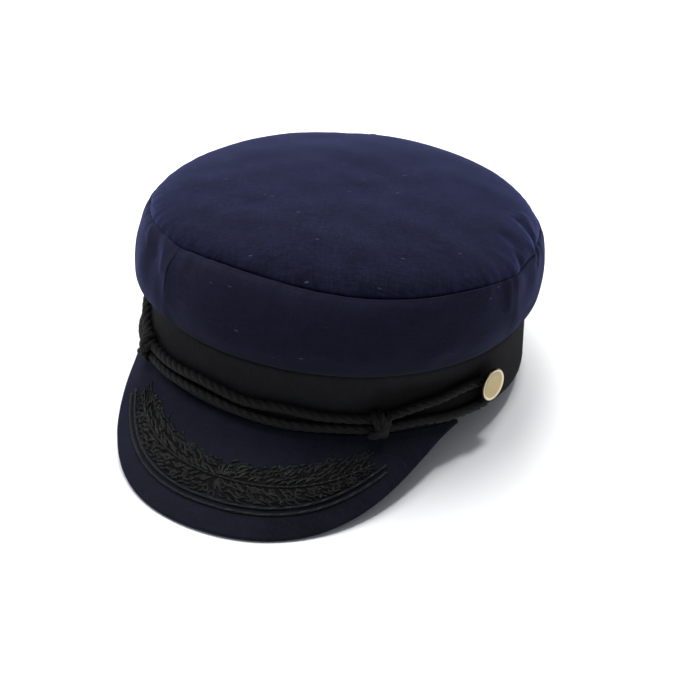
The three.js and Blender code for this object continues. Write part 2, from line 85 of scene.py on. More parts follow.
# %% [markdown]
# ## Light
# One broad light stands high on the wearer's right and gives the wide, soft part of the shadow. A small
# one, almost overhead and a little behind, draws the one crisp edge in it. A low light behind the cap
# brightens the far edge of the tip, and a dim world, slightly blue, fills in the rest. Area lights are
# used because their size sets how soft a shadow is; a sun lamp could give the crisp edge alone.

# %% Set up the lights
LIGHTS = {  # place and size in metres, power in watts
    "key_light": ((-0.80, 0.25, 2.15), 1.9, 50),
    "rim_light": ((-0.60, 1.15, 1.0), 0.9, 14),
    "overhead_light": ((0.40, 0.43, 2.2), 0.42, 22),
}
WORLD_COLOUR, WORLD_STRENGTH = (0.93, 0.98, 1.06, 1), 0.32

for name, (place, size, power) in LIGHTS.items():
    light = add_object(name, bpy.data.lights.new(name, "AREA"))
    light.data.shape = "DISK"
    light.data.size, light.data.energy = size, power
    light.location = place
    light.rotation_euler = (Vector(place) - LOOK_AT).to_track_quat("Z", "Y").to_euler()

world = bpy.data.worlds.new("studio")
world.use_nodes = True
background = world.node_tree.nodes["Background"]
background.inputs["Color"].default_value = WORLD_COLOUR
background.inputs["Strength"].default_value = WORLD_STRENGTH
bpy.context.scene.world = world
print("lights:", ", ".join(LIGHTS))

# %% [markdown]
# ## Arithmetic on sockets
# A material is a graph of nodes. Written out node by node, even a small sum fills a page. Here one
# class wraps a socket and gives it plus, minus and times, so that a pattern reads as a formula. Each
# sign adds one Math node. Everything that is not a sum comes from one method, `node`.

# %% Wrap a socket
def sign(operation, swapped=False):
    """A method for one sign of arithmetic."""
    def method(self, other):
        return self.maths(operation, *((other, self) if swapped else (self, other)))
    return method


class Wire:
    """An output socket of a material's node. Arithmetic on it adds Math nodes."""

    def __init__(self, finish, socket):
        self.finish = finish
        self.socket = socket

    def maths(self, operation, *values):
        return self.finish.node("Math", {"operation": operation}, dict(enumerate(values)))

    __add__ = __radd__ = sign("ADD")
    __mul__ = __rmul__ = sign("MULTIPLY")
    __sub__, __rsub__ = sign("SUBTRACT"), sign("SUBTRACT", swapped=True)
    __pow__ = sign("POWER")

    def __abs__(self):
        return self.maths("ABSOLUTE", self)

    def sine(self):
        return self.maths("SINE", self)

    def ripple(self, pitch):
        """Even waves from 0 to 1, a pitch apart."""
        return (self * (2 * math.pi / pitch)).sine() * 0.5 + 0.5

    def ramp(self, low, high):
        """0 below low, 1 above high, and smooth between them."""
        settings = {"interpolation_type": "SMOOTHSTEP"}
        return self.finish.node("MapRange", settings, {"Value": self, "From Min": low, "From Max": high})

    def within(self, low, full, falling, high):
        """1 from full to falling, 0 below low and above high, and smooth between them."""
        return self.ramp(low, full) * (1 - self.ramp(falling, high))

# %% Build a material
MM = 0.001
FLAT_MAP = "flat"


def spaced(values):
    """Base_Color stands for the socket Base Color, and so on."""
    return {name.replace("_", " "): value for name, value in values.items()}


class Finish:
    """A material with one Principled shader, made node by node."""

    def __init__(self, name, **constants):
        self.name = name
        self.material = bpy.data.materials.new(name)
        self.material.use_nodes = True
        self.tree = self.material.node_tree
        self.shader = self.tree.nodes["Principled BSDF"]
        self.set(**constants)

    def node(self, kind, settings=None, inputs=None, output=0):
        """One new node. Its settings are set first, then its sockets' values or links."""
        node = self.tree.nodes.new("ShaderNode" + kind)
        for name, value in (settings or {}).items():
            setattr(node, name, value)
        for name, value in (inputs or {}).items():
            self.plug(node.inputs[name], value)
        return Wire(self, node.outputs[output])

    def plug(self, socket, value):
        if isinstance(value, Wire):
            self.tree.links.new(value.socket, socket)
        else:
            socket.default_value = value

    def set(self, **values):
        """Values or links for the shader's own sockets."""
        for socket, value in spaced(values).items():
            self.plug(self.shader.inputs[socket], value)

    def mix(self, factor, first, second):
        """A colour between two colours."""
        return self.node("Mix", {"data_type": "RGBA"}, {0: factor, 6: first, 7: second}, 2)

    def noise(self, vector, scale, detail=2.0, roughness=0.5):
        inputs = {"Vector": vector, "Scale": scale, "Detail": detail, "Roughness": roughness}
        return self.node("TexNoise", {}, inputs)

    def cells(self, vector, scale):
        """Random cells: the distance from each cell's middle, and a random number for the cell."""
        distance = self.node("TexVoronoi", {}, {"Vector": vector, "Scale": scale}, "Distance")
        colour = Wire(self, distance.socket.node.outputs["Color"])
        return distance, self.node("SeparateColor", {}, {"Color": colour}, "Red")

    def flat_map(self):
        """The flat coordinates of the cloth or thread, in millimetres: along, across, and both."""
        vector = self.node("UVMap", {"uv_map": FLAT_MAP})
        along = self.node("SeparateXYZ", {}, {"Vector": vector}, "X")
        return along, Wire(self, along.socket.node.outputs["Y"]), vector

    def stretched(self, vector, along, across):
        """A copy of the vector, scaled apart in its two directions."""
        return self.node("VectorMath", {"operation": "MULTIPLY"}, {0: vector, 1: (along, across, 1)})

    def cover(self, share, **values):
        """A second Principled shader laid over the first one, as far as share says."""
        second = self.node("BsdfPrincipled", {}, spaced(values))
        mixed = self.node("MixShader", {}, {0: share, 1: Wire(self, self.shader.outputs[0]), 2: second})
        self.plug(self.tree.nodes["Material Output"].inputs["Surface"], mixed)

    def emboss(self, height, depth):
        """Height from 0 to 1 becomes relief of a depth in millimetres."""
        inputs = {"Strength": 1.0, "Distance": depth * MM, "Height": height}
        self.set(Normal=self.node("Bump", {}, inputs))

# %% [markdown]
# ## The cap's own place
# The cap is easiest to describe upright, with the foot of its band level and the front towards -Y.
# It lies leaned back, on the edge of the peak and the rear of the band. So every shape below is made
# upright in millimetres, and one function lays it down into place in metres.

# %% Lay the cap down
LEAN = math.radians(9.9296)
REST_LINE = 88.0  # the band is pressed flat on the table behind this y
LEAN_SHIFT = (0.0, 18.04, REST_LINE * math.sin(LEAN))


def lay_down(points):
    """Upright points in millimetres become points of the lying cap in metres."""
    x, y, z = np.moveaxis(np.asarray(points, float), -1, 0)
    leaned = (x, y * math.cos(LEAN) + z * math.sin(LEAN), z * math.cos(LEAN) - y * math.sin(LEAN))
    return (np.stack(leaned, -1) + LEAN_SHIFT) * MM


print("lean, degrees:", round(math.degrees(LEAN), 2))

# %% [markdown]
# ## Skins from grids
# Cloth, ribbon and thread are all skins that can be laid out on a grid of rows and columns. A grid of
# numbers is made at once with numpy, moved in and out along its own normals for ribs, seams and
# folds, and turned into a mesh in one call. Modelling by hand would give the same faces, but the
# sizes could not be read from it.

# %% Grids of points
def across_grid(values_down, values_along):
    """Two lists become two tables, for a grid with a row for each value down."""
    return np.meshgrid(values_down, values_along, indexing="ij")


def unit(vectors):
    return vectors / np.maximum(np.linalg.norm(vectors, axis=-1, keepdims=True), 1e-9)


def grid_normals(grid, closed):
    """Normals of a grid whose columns run along and whose rows run up, seen from outside."""
    if closed:
        wide = np.concatenate([grid[:, -1:], grid, grid[:, :1]], 1)
        along = np.gradient(wide, axis=1)[:, 1:-1]
    else:
        along = np.gradient(grid, axis=1)
    return unit(np.cross(along, np.gradient(grid, axis=0)))


def run_lengths(grid, axis):
    """Length along the grid's lines in millimetres, counted from the first line."""
    steps = np.linalg.norm(np.diff(grid, axis=axis), axis=-1)
    return np.concatenate([np.zeros_like(steps.take([0], axis)), np.cumsum(steps, axis)], axis)


def skin_faces(rows, columns, closed, start=0):
    """Faces of a grid, as numbers of its points."""
    row, column = across_grid(np.arange(rows - 1), np.arange(columns if closed else columns - 1))
    beside = (column + 1) % columns
    corners = (row * columns + column, row * columns + beside)
    faces = np.stack([*corners, corners[1] + columns, corners[0] + columns], -1)
    return faces.reshape(-1, 4) + start


def capped_faces(rings, steps):
    """Faces of a tube made of rings, with an end face on the first and on the last ring."""
    number = np.arange(rings * steps).reshape(rings, steps)
    return [*skin_faces(rings, steps, True).tolist(), number[0, ::-1].tolist(), number[-1].tolist()]


def sheet_shell(outer, inner, closed):
    """Points and faces of a sheet with two skins, closed all round its edges."""
    rows, columns = outer.shape[:2]
    count = rows * columns
    faces = [skin_faces(rows, columns, closed), skin_faces(rows, columns, closed, count)[:, ::-1]]
    number = np.arange(count).reshape(rows, columns)
    edges = [number[0, ::-1], number[-1]]
    if not closed:
        edges += [number[:, 0], number[::-1, -1]]
    for edge in edges:
        beside = np.roll(edge, -1) if closed else edge[1:]
        here = edge if closed else edge[:-1]
        faces.append(np.stack([here, beside, beside + count, here + count], -1))
    points = np.concatenate([outer.reshape(-1, 3), inner.reshape(-1, 3)])
    return points, [face.tolist() for part in faces for face in part]

# %% Turn points and faces into a piece
def flat_places(along, across):
    """Each point's place on the flat cloth or thread, in millimetres."""
    return np.stack(np.broadcast_arrays(along, across), -1).reshape(-1, 2)


def flat_sheet(outer, inner, closed, along, across):
    """A sheet whose two skins have the same places on the flat cloth."""
    return *sheet_shell(outer, inner, closed), np.tile(flat_places(along, across), (2, 1))


def add_piece(name, form, finish, stands_in=True, crisp=None):
    """A mesh piece that rides with the cap, and stands in for the measured one of its name."""
    points, faces, flat = form
    mesh = bpy.data.meshes.new(name)
    mesh.from_pydata(lay_down(points).tolist(), [], faces)
    mesh.polygons.foreach_set("use_smooth", [True] * len(mesh.polygons))
    layer = mesh.uv_layers.new(name=FLAT_MAP)
    corners = np.empty(len(mesh.loops), int)
    mesh.loops.foreach_get("vertex_index", corners)
    layer.uv.foreach_set("vector", np.asarray(flat, np.float32)[corners].ravel())
    mesh.materials.append(finish.material)
    mesh.validate()
    if crisp:
        mesh.set_sharp_from_angle(angle=math.radians(crisp))
    piece = add_object(name, mesh)
    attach(piece, "root")
    if stands_in:
        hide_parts(name)
    print(name, "faces:", len(mesh.polygons))

# %% [markdown]
# ## Random cloth
# Real cloth is never quite even. A sum of a few waves in random directions gives a soft unevenness
# that is the same at every run, because the random numbers start from a fixed seed.

# %% Soft unevenness
def cloth_waves(points, shortest, longest, seed, count=24):
    """Gentle unevenness between -1 and 1 over points in millimetres."""
    rng = np.random.default_rng(seed)
    total = np.zeros(points.shape[:-1])
    for _ in range(count):
        direction = unit(rng.normal(size=3))
        length = math.exp(rng.uniform(math.log(shortest), math.log(longest)))
        total += np.sin(points @ direction * (2 * math.pi / length) + rng.uniform(0, 2 * math.pi))
    return total / math.sqrt(count)


def line_waves(along, *waves):
    """The same unevenness along a line."""
    return cloth_waves(np.stack([along, 0 * along, 0 * along], -1), *waves)


def soft_waves(points, distance, rise, full, *waves):
    """Unevenness that rises from nothing at a seam to its full height farther away."""
    return rise * np.clip(distance / full, 0, 1) * cloth_waves(points, *waves)


def bump(distance, spread):
    return np.exp(-((distance / spread) ** 2))


def full_turn(steps):
    return np.linspace(0, 2 * math.pi, steps, endpoint=False)


def angle_between(first, second):
    return (first - second + 180) % 360 - 180

# %% [markdown]
# ## Sizes of the band and crown
# The band is an oval ring that narrows a little upwards. The crown rolls out over it to its widest
# ring and back in to the seam of the tip. These are the measured model's own sizes, in millimetres
# and degrees; angles count from the front towards the wearer's left.

# %% Sizes of the band and crown
BAND = Sizes(half_width=92.2, half_length=97.6, height=29.5, draft=1.5, wall=2.2)
CROWN_WALL, CROWN_FULLNESS, HEM_ROLL = 2.0, 2.07, 0.8
DOME_RISE, DOME_SHOULDER = 15.3, 0.67
CROWN_RINGS = {  # height, half width, half length, shift back, slope to the back, share of the wave
    "turn_in": (29.7, 88.5, 93.9, 0, 0, 0),
    "hem": (29.7, 90.7, 96.1, 0, 0, 0),
    "bulge": (48.7, 98.2, 104.0, -3.4, 0.014, 0),
    "seam": (69.2, 94.1, 94.1, -1.5, -0.014, 1),
    "seam_turn_in": (69.2, 91.2, 91.2, -1.5, -0.014, 1),
}
CROWN_SEAMS = {"front": (-29, 84), "left": (84, 207), "right": (207, 331)}  # each panel's two ends
SEAM_SADDLE = 2.6
SEAM_EASE = (  # angle, spread, rise of the tip's seam
    (-29, 9, -1.2), (-8, 14, 0.9), (27, 18, -1.1), (64, 14, 1.1), (84, 9, -1), (207, 10, -1),
)
CROWN_DENTS = (  # angle, height, spread around, spread up, depth
    (-21, 58, 5, 13, 1.3), (-38, 60, 5, 12, 1.5), (76, 60, 5, 11, 1.2), (93, 61, 5, 14, 1.6),
    (106, 68, 4, 9, 1.2), (198, 59, 5, 12, 1.2), (216, 59, 5, 12, 1.2), (-50, 37, 18, 6, -1.6),
)


def beside_band(angle, height, out=0.0):
    """A point beside the band: angle around the cap, height on the band, distance out from it."""
    angle, height, out = np.broadcast_arrays(*map(np.asarray, (angle, height, out)))
    turn = np.radians(angle)
    narrower = BAND.draft * height / BAND.height
    half_width, half_length = BAND.half_width - narrower, BAND.half_length - narrower
    facing = unit(np.stack([np.sin(turn) / half_width, -np.cos(turn) / half_length, 0 * turn], -1))
    place = np.stack([half_width * np.sin(turn), -half_length * np.cos(turn), height], -1)
    return place + facing * out[..., None]

# %% Follow the crown's rings
def mixed_rings(first, second, size_share, height_share):
    """A ring between two rings. Its size and its height may be at different shares of the way."""
    shares = (height_share, size_share, size_share, size_share, height_share, height_share)
    return [a + (b - a) * share for a, b, share in zip(CROWN_RINGS[first], CROWN_RINGS[second], shares)]


def on_ring(ring, angle, scale=1.0):
    height, half_width, half_length, shift, slope, wave_share = ring
    turn = np.radians(angle)
    power = 2 / CROWN_FULLNESS
    x = half_width * scale * np.sign(np.sin(turn)) * np.abs(np.sin(turn)) ** power
    y = -half_length * scale * np.sign(np.cos(turn)) * np.abs(np.cos(turn)) ** power + shift
    ease = sum(rise * bump(angle_between(angle, at), spread) for at, spread, rise in SEAM_EASE)
    wave = SEAM_SADDLE * np.cos(2 * turn) * scale**2 + ease * scale**6
    return np.stack([x, y, height + slope * y + wave_share * wave], -1)


def dented(points, angle, fade=1.0):
    depth = sum(
        deep * bump(angle_between(angle, at), wide) * bump(points[..., 2] - height, tall)
        for at, height, wide, tall, deep in CROWN_DENTS
    )
    return points - unit(points * (1, 1, 0)) * (depth * fade)[..., None]


def crown_side(angle, level):
    """Level 0 at the hem, 1 at the widest place, 2 at the tip's seam, with turnings beyond both."""
    rolled = np.clip(level, 0, 1)
    low = mixed_rings("hem", "bulge", np.sin(rolled * math.pi / 2) ** HEM_ROLL, rolled)
    turn = np.clip(level - 1, 0, 1) * math.pi / 2
    high = mixed_rings("bulge", "seam", 1 - np.cos(turn), np.sin(turn))
    under = mixed_rings("hem", "turn_in", *[np.clip(-level, 0, 1)] * 2)
    over = mixed_rings("seam", "seam_turn_in", *[np.clip(level - 2, 0, 1)] * 2)
    low, high, under, over = [on_ring(ring, angle) for ring in (low, high, under, over)]
    low, high, over = dented(low, angle, np.clip(3 * level, 0, 1)), dented(high, angle), dented(over, angle)
    level = level[..., None]
    return np.where(level < 0, under, np.where(level < 1, low, np.where(level < 2, high, over)))

# %% [markdown]
# ## Navy cloth
# The crown is a slightly slubby plain-woven cloth. An image of cloth would be quick, but it would
# show its edges and its repeat. Here the weave is written as two sets of threads, one along and one
# across, thicker here and thinner there, with a few pale flecks of lint caught in it. The tip is painted
# lighter towards the back as painted light, and the foot of the sides darker and dull as painted shade.

# %% Make the navy cloth
AROUND = 1.68  # millimetres along the crown's side for each degree
THREADS = Sizes(pitch=0.78, wander=0.7, waver=0.35, share=0.12)  # millimetres, but for the share
CLOTH_PATTERNS = {  # stretch along and across, scale, detail, roughness, contrast, share of lightness
    "slub_along": (0.10, 1.25, 1.0, 3.0, 0.5, (0.30, 0.72), 0.30),
    "slub_across": (1.25, 0.12, 1.0, 3.0, 0.5, (0.30, 0.72), 0.17),
    "mottle": (1.0, 1.0, 0.07, 4.0, 0.6, (0.32, 0.70), 0.26),
    "grain": (1.0, 1.0, 0.55, 3.0, 0.6, (0.30, 0.70), 0.27),
}
LINT = Sizes(stretch=(0.30, 0.95), rare=(0.989, 0.9998), edge=(0.1, 0.45), colour=(0.070, 0.073, 0.112, 1))
BLOOM_TINT = (0.28, 0.34, 1.00, 1)
# one navy cloth in three colourings: the tip's, sides' and peak's colours differ as painted light and shade
CLOTHS = {  # darkest and lightest colour, unevenness, strength of the lint, soft bloom
    "navy_tip_cloth": ((0.0038, 0.0041, 0.0112, 1), (0.0102, 0.0108, 0.0290, 1), 1.45, 0.75, 0.29),
    "navy_side_cloth": ((0.0046, 0.0048, 0.0106, 1), (0.0122, 0.0126, 0.0272, 1), 0.60, 0.75, 0.18),
    "navy_peak_cloth": ((0.0052, 0.0056, 0.0078, 1), (0.0138, 0.0145, 0.0262, 1), 0.65, 0.15, 0.16),
}


def woven_finish(name, painted_light):
    """Plain-woven cloth. painted_light tells how much lighter the cloth is painted at a place on it, as
    painted light and shade.
    """
    dark, light, uneven, lint, bloom = CLOTHS[name]
    finish = Finish(name, Roughness=0.9, Specular_IOR_Level=0.05, Sheen_Weight=bloom,
                    Sheen_Roughness=0.33, Sheen_Tint=BLOOM_TINT)
    along, across, flat = finish.flat_map()
    wander = (finish.noise(flat, THREADS.waver) - 0.5) * THREADS.wander
    turns = 2 * math.pi / THREADS.pitch
    weave = ((along + wander) * turns).sine() * ((across + wander) * turns).sine() * 0.5 + 0.5
    lightness, middle = weave * THREADS.share, THREADS.share / 2
    patterns = {}
    for pattern, (*stretch, scale, detail, roughness, contrast, share) in CLOTH_PATTERNS.items():
        patterns[pattern] = finish.noise(finish.stretched(flat, *stretch), scale, detail, roughness)
        lightness, middle = lightness + patterns[pattern].ramp(*contrast) * share, middle + share / 2
    # the cloth's own unevenness, with painted light and shade added on top
    lightness = (lightness - middle) * uneven + middle + painted_light(along, across)
    distance, luck = finish.cells(finish.stretched(flat, *LINT.stretch), 1.0)
    fleck = luck.ramp(*LINT.rare) * (1 - distance.ramp(*LINT.edge))
    finish.set(Base_Color=finish.mix(fleck * lint, finish.mix(lightness, dark, light), LINT.colour))
    slubs = patterns["slub_along"] * 0.5 + patterns["slub_across"] * 0.3
    finish.emboss(weave * 0.5 + slubs + fleck * 0.4, 0.16)
    return finish

# %% Paint light and shade on the tip, the sides and the hem
# painted light: the tip is painted lighter towards its back, most near the back edge, and a little darker
# towards the wearer's left
TIP_PAINTED_LIGHT = Sizes(sideways=-0.0009, backwards=0.0032, back=(15, 95), most=0.5)
SIDE_PAINTED_SHADE = -0.21  # painted shade and light: the wearer's left is painted a little darker than the right
# painted shade at the foot of the sides: a darker colour without sheen, paler within the last few
# millimetres of the hem
NAVY_HEM, NAVY_HEM_SHADE = (0.0130, 0.0135, 0.0215, 1), (0.0078, 0.0081, 0.0146, 1)
HEM_EDGE, HEM_SHADE_RISE = (3, 12), (6, 23)  # millimetres up the side between which each of them fades
HEM_SHADE_SPARED, SPARED_SHARE = (95, 130, 330, 420), 0.6  # less painted shade along this part of the side


def tip_painted_light(along, across):
    steady = along * TIP_PAINTED_LIGHT.sideways + across * TIP_PAINTED_LIGHT.backwards
    return steady + across.ramp(*TIP_PAINTED_LIGHT.back) * TIP_PAINTED_LIGHT.most


def side_painted_light(along, across):
    return (along * math.radians(1 / AROUND)).sine() * SIDE_PAINTED_SHADE


navy_tip_cloth = woven_finish("navy_tip_cloth", tip_painted_light)
navy_side_cloth = woven_finish("navy_side_cloth", side_painted_light)
# painted shade: a darker shader without sheen covers the foot of the sides and fades out upwards
along, above_hem, flat = navy_side_cloth.flat_map()
hem_shade = (1 - above_hem.ramp(*HEM_SHADE_RISE)) * (1 - along.within(*HEM_SHADE_SPARED) * SPARED_SHARE)
hem_shade_colour = navy_side_cloth.mix(above_hem.ramp(*HEM_EDGE), NAVY_HEM, NAVY_HEM_SHADE)
navy_side_cloth.cover(hem_shade, Base_Color=hem_shade_colour, Roughness=0.95, Specular_IOR_Level=0.05)
print("navy cloth nodes:", len(navy_tip_cloth.tree.nodes))

# %% [markdown]
# ## Seams and folds
# Along a seam the cloth rolls in, and stands a little proud just beside it, where the turned edges lie
# behind. Small puckers run out from the seam of the tip, and a few folds start at the ends of the
# upright seams. Cloth could be draped by a simulation, but this crown is sewn tight, so each form is a
# small function of the distance from its seam, in millimetres, and stays where it is put.

# %% Shape the seams
SIDE_ROLL = Sizes(depth=0.22, groove=0.42, proud=0.34, beside=1.0, spread=0.65)
TIP_ROLL = Sizes(depth=0.20, groove=0.42, proud=0.14, beside=1.4, spread=0.80)
UPRIGHT_SEAM = Sizes(raised=0.20, breadth=2.4, depth=0.07, groove=0.35)
SEAM_AROUND = 1.65  # millimetres along the tip's seam for each degree
SOFT_SEAM, SOFT_SPREAD = (-57, 108), 22  # degrees


def seam_roll(roll, distance):
    """How far the cloth stands out beside the tip's seam."""
    return roll.proud * bump(distance - roll.beside, roll.spread) - roll.depth * bump(distance, roll.groove)


def upright_roll(distance):
    """The turned edges behind an upright seam lift the cloth in a soft ridge, with a fine groove."""
    ridge = UPRIGHT_SEAM.raised * bump(distance, UPRIGHT_SEAM.breadth)
    return ridge - UPRIGHT_SEAM.depth * bump(distance, UPRIGHT_SEAM.groove)


def seam_facing(points, normals, distance):
    """Normals that agree on both sides of the tip's seam, so that the two cloths stay together there."""
    shared = unit(points * (1, 1, 0)) * 0.75 + (0, 0, 0.66)
    near = bump(distance, 2.5)[..., None]
    return unit(normals * (1 - near) + unit(shared) * near)


def seam_tightness(angle):
    """The tip's seam is crisp across the front and softer elsewhere."""
    soft = sum(bump(angle_between(angle, at) ** 2, SOFT_SPREAD**2) for at in SOFT_SEAM)
    return np.clip(1 - soft + 0.3 * line_waves(angle * SEAM_AROUND, 14, 50, 33, 8), 0, 1.2)

# %% Shape the folds
PUCKERS = Sizes(rise=0.2, reach=6.0)
CRUMPLE = Sizes(rise=0.36, reach=20.0)
CREASES = (  # (angle, distance above the tip's seam) of the points on its line, breadth, rise
    (((-36.5, -1), (-34, -8), (-32.5, -14)), 2.6, 0.65),
    (((-30, -4), (-22, -9)), 4.5, -0.9),
    (((-47.5, -3), (-44, -9)), 1.8, 0.5),
    (((-41.5, -3), (-38.5, -11)), 3.2, -0.75),
    (((110.5, 15), (105, 4), (100, -5)), 2.3, -0.9),
    (((116, 12), (108, 7), (104, -3)), 2.2, 0.6),
    (((95, 15), (93, 9)), 4.0, -0.8),
    (((90.5, 7), (89, 1)), 2.2, -0.6),
    (((81, -2), (80, -14)), 2.4, 0.5),
    (((196, 6), (201, -6), (203, -17)), 2.4, 0.7),
    (((213, 2), (210, -9)), 2.4, -0.7),
    (((150, -4), (146, -14)), 3.0, -0.4),
    (((-95, 3), (-91, -12)), 2.8, -0.6),
)


def puckers(angle, distance):
    """Small waves that run along the tip's seam and die out away from it."""
    waves = line_waves(angle * SEAM_AROUND, 5, 14, 5, 10)
    return PUCKERS.rise * waves * bump(distance, PUCKERS.reach)


def crumple(angle, height):
    """Upright folds beside the upright seams, a few millimetres wide and fading away from them."""
    starts = [start for start, end in CROWN_SEAMS.values()]
    near = sum(bump(angle_between(angle, start) * AROUND, CRUMPLE.reach) for start in starts)
    leaning = np.stack([angle * AROUND + 0.35 * height, 0.22 * height, 0 * angle], -1)
    return CRUMPLE.rise * near * cloth_waves(leaning, 9, 30, 15, 14)


def creases(angle, above_seam):
    """Single folds drawn as lines on the crown, across the tip's seam where they meet it."""
    total = np.zeros(np.broadcast(angle, above_seam).shape)
    for line, breadth, rise in CREASES:
        x, y = angle_between(angle, line[0][0]) * AROUND, above_seam
        corners = [((at - line[0][0]) * AROUND, above) for at, above in line]
        nearest = np.full(total.shape, np.inf)
        for (x1, y1), (x2, y2) in zip(corners, corners[1:]):
            wide, tall = x2 - x1, y2 - y1
            share = np.clip(((x - x1) * wide + (y - y1) * tall) / (wide**2 + tall**2), 0, 1)
            nearest = np.minimum(nearest, np.hypot(x - x1 - share * wide, y - y1 - share * tall))
        total += rise * bump(nearest, breadth)
    return total

# %% [markdown]
# ## The crown's sides
# Three panels of cloth stand around the head and are joined by upright seams. They could be one skin
# with lines drawn on it, but each is made as its own sheet with a real thickness and turned-in edges,
# so that the seams are true meetings of two cloths.

# %% Make the crown's sides
CRISP_EDGE = 40  # degrees: folds of the cloth sharper than this are shaded as edges
FINE_STEP = 0.6  # degrees between two columns of the cloth's grid
PANEL_GAP = 0.02  # degrees from each end of a panel to its seam
PANEL_LEVELS = np.concatenate([
    [-1, -0.5], np.linspace(0, 0.96, 30), np.linspace(1, 1.6, 16), np.linspace(1.64, 2, 16), [2.4, 3],
])
SIDE_WAVES = (0.35, 12, 16, 60, 21)  # rise, distance where full, shortest, longest, seed


def crown_panel(name, start, end):
    columns = round((end - start) / FINE_STEP)
    level, angle = across_grid(PANEL_LEVELS, np.linspace(start + PANEL_GAP, end - PANEL_GAP, columns))
    base = crown_side(angle, level)
    up, along = run_lengths(base, 0), run_lengths(base, 1)
    from_tip = np.abs(up[np.argmax(PANEL_LEVELS >= 2)] - up)
    from_end = np.minimum(along, along[:, -1:] - along)
    relief = seam_roll(SIDE_ROLL, from_tip) * seam_tightness(angle) + upright_roll(from_end)
    relief += puckers(angle, from_tip) + crumple(angle, base[..., 2]) + creases(angle, -from_tip)
    relief += soft_waves(base, from_tip, *SIDE_WAVES)
    relief *= np.clip(3 * level, 0, 1) * np.clip(3 * (2 - level) + 1, 0, 1)  # the turnings stay plain
    normals = grid_normals(base, False)
    outer = base + seam_facing(base, normals, from_tip) * relief[..., None]
    form = flat_sheet(outer, base - normals * CROWN_WALL, False, angle * AROUND, up)
    add_piece(name, form, navy_side_cloth, crisp=CRISP_EDGE)


for side, (start, end) in CROWN_SEAMS.items():
    crown_panel(f"crown_panel_{side}", start, end)

# %% [markdown]
# ## The crown's tip
# The tip is one round piece of cloth, domed by the shape of the head and held at its rim by a seam.
# It could be a flattened ball, but it has a shoulder: it rises quickly from the seam and then runs
# nearly flat. Its rim is turned in behind the top edge of the sides.

# %% Make the crown's tip
TIP_GRAIN = math.radians(24)  # the tip's threads run at this angle to the cap's width
TIP_SHOULDER = 0.35  # radians up the dome's quarter turn that get closer rows
TIP_WAVES = (0.4, 30, 18, 70, 41)  # as for the sides
TURNING_SCALE, TURNING_DROP, TURNING_WALL = 0.972, (0, 0, -1.6), (0, 0, 0.4)


def crown_tip():
    shoulder = np.cos(np.linspace(0, TIP_SHOULDER, 22)) ** DOME_SHOULDER
    scales = np.concatenate([shoulder, np.linspace(shoulder[-1], 0, 60)[1:]])
    scale, angle = across_grid(scales, np.arange(0, 360, FINE_STEP))
    turn = np.arccos(scale ** (1 / DOME_SHOULDER))
    base = on_ring(CROWN_RINGS["seam"], angle, scale)
    base[..., 2] += DOME_RISE * np.sin(turn)
    base = dented(base, angle, 1 - turn / (math.pi / 2))
    upright = np.clip((0.08 - scale) / 0.06, 0, 1)[..., None]  # the middle's tiny faces face straight up
    normals = unit(grid_normals(base, True) * (1 - upright) + np.array((0, 0, 1)) * upright)
    from_seam = run_lengths(base, 0)
    relief = seam_tightness(angle) * seam_roll(TIP_ROLL, from_seam) + puckers(angle, from_seam)
    relief += crumple(angle, base[..., 2]) * bump(from_seam, 16) + creases(angle, from_seam)
    relief += soft_waves(base, from_seam, *TIP_WAVES)
    outer = base + seam_facing(base, normals, from_seam) * relief[..., None]
    turned_in = on_ring(CROWN_RINGS["seam"], angle[:1], TURNING_SCALE) + TURNING_DROP
    inner = np.concatenate([turned_in + TURNING_WALL, base - normals * CROWN_WALL])
    points, faces = sheet_shell(np.concatenate([turned_in, outer]), inner, True)
    (x, y), cosine, sine = points[:, :2].T, math.cos(TIP_GRAIN), math.sin(TIP_GRAIN)
    flat = flat_places(x * cosine + y * sine, y * cosine - x * sine)
    add_piece("crown_tip", (points, faces, flat), navy_tip_cloth, crisp=CRISP_EDGE)


crown_tip()

# %% [markdown]
# ## The ribbed band
# The band is a black ribbon woven with upright ribs. The ribs are close to two millimetres wide, so
# they are real relief in the mesh; the fine threads across them are relief in the material. The
# ribbon is painted lighter towards its upper edge, darker low down in front of the left button and
# paler just beyond it, as painted light and shade.

# %% Colour the ribbon, with painted light and shade
RIBBON_DARK, RIBBON_LIGHT = (0.0057, 0.0057, 0.0059, 1), (0.0165, 0.0165, 0.0180, 1)
RIBBON_THREAD = 0.55  # millimetres, as are the places of the three patches below
# painted light up towards the upper edge, painted shade low down in front of the left button, painted light
# just beyond it
UPPER_EDGE_LIGHT, SHADE_BELOW = (12, 29), (17, 27)  # heights
SHADE_PATCH, LIGHT_PATCH = (45, 85, 118, 140), (122, 150, 160, 200)  # along the ribbon

black_ribbon = Finish("black_ribbon", Roughness=0.85, Specular_IOR_Level=0.05)
along, across, flat = black_ribbon.flat_map()
threads = across.ripple(RIBBON_THREAD)
# painted shade low on the ribbon in front of the left button
shade_patch = along.within(*SHADE_PATCH) * (1 - across.ramp(*SHADE_BELOW))
tone = black_ribbon.noise(flat, 0.12, 4.0) * 0.6 + threads * 0.25 + across.ramp(*UPPER_EDGE_LIGHT) * 0.38 + 0.02
tone = tone - shade_patch * 0.85 + along.within(*LIGHT_PATCH) * 0.3
black_ribbon.set(Base_Color=black_ribbon.mix(tone, RIBBON_DARK, RIBBON_LIGHT))
black_ribbon.emboss(threads * 0.6 + black_ribbon.noise(flat, 1.7) * 0.5, 0.09)

# %% Make the band
RIBS = Sizes(count=320, depth=0.16, roundness=0.8, columns=5)
EDGE_ROUNDING, EDGE_REACH = 0.3, 0.8  # millimetres
RIBBON_AROUND = 1.66  # millimetres along the ribbon for each degree


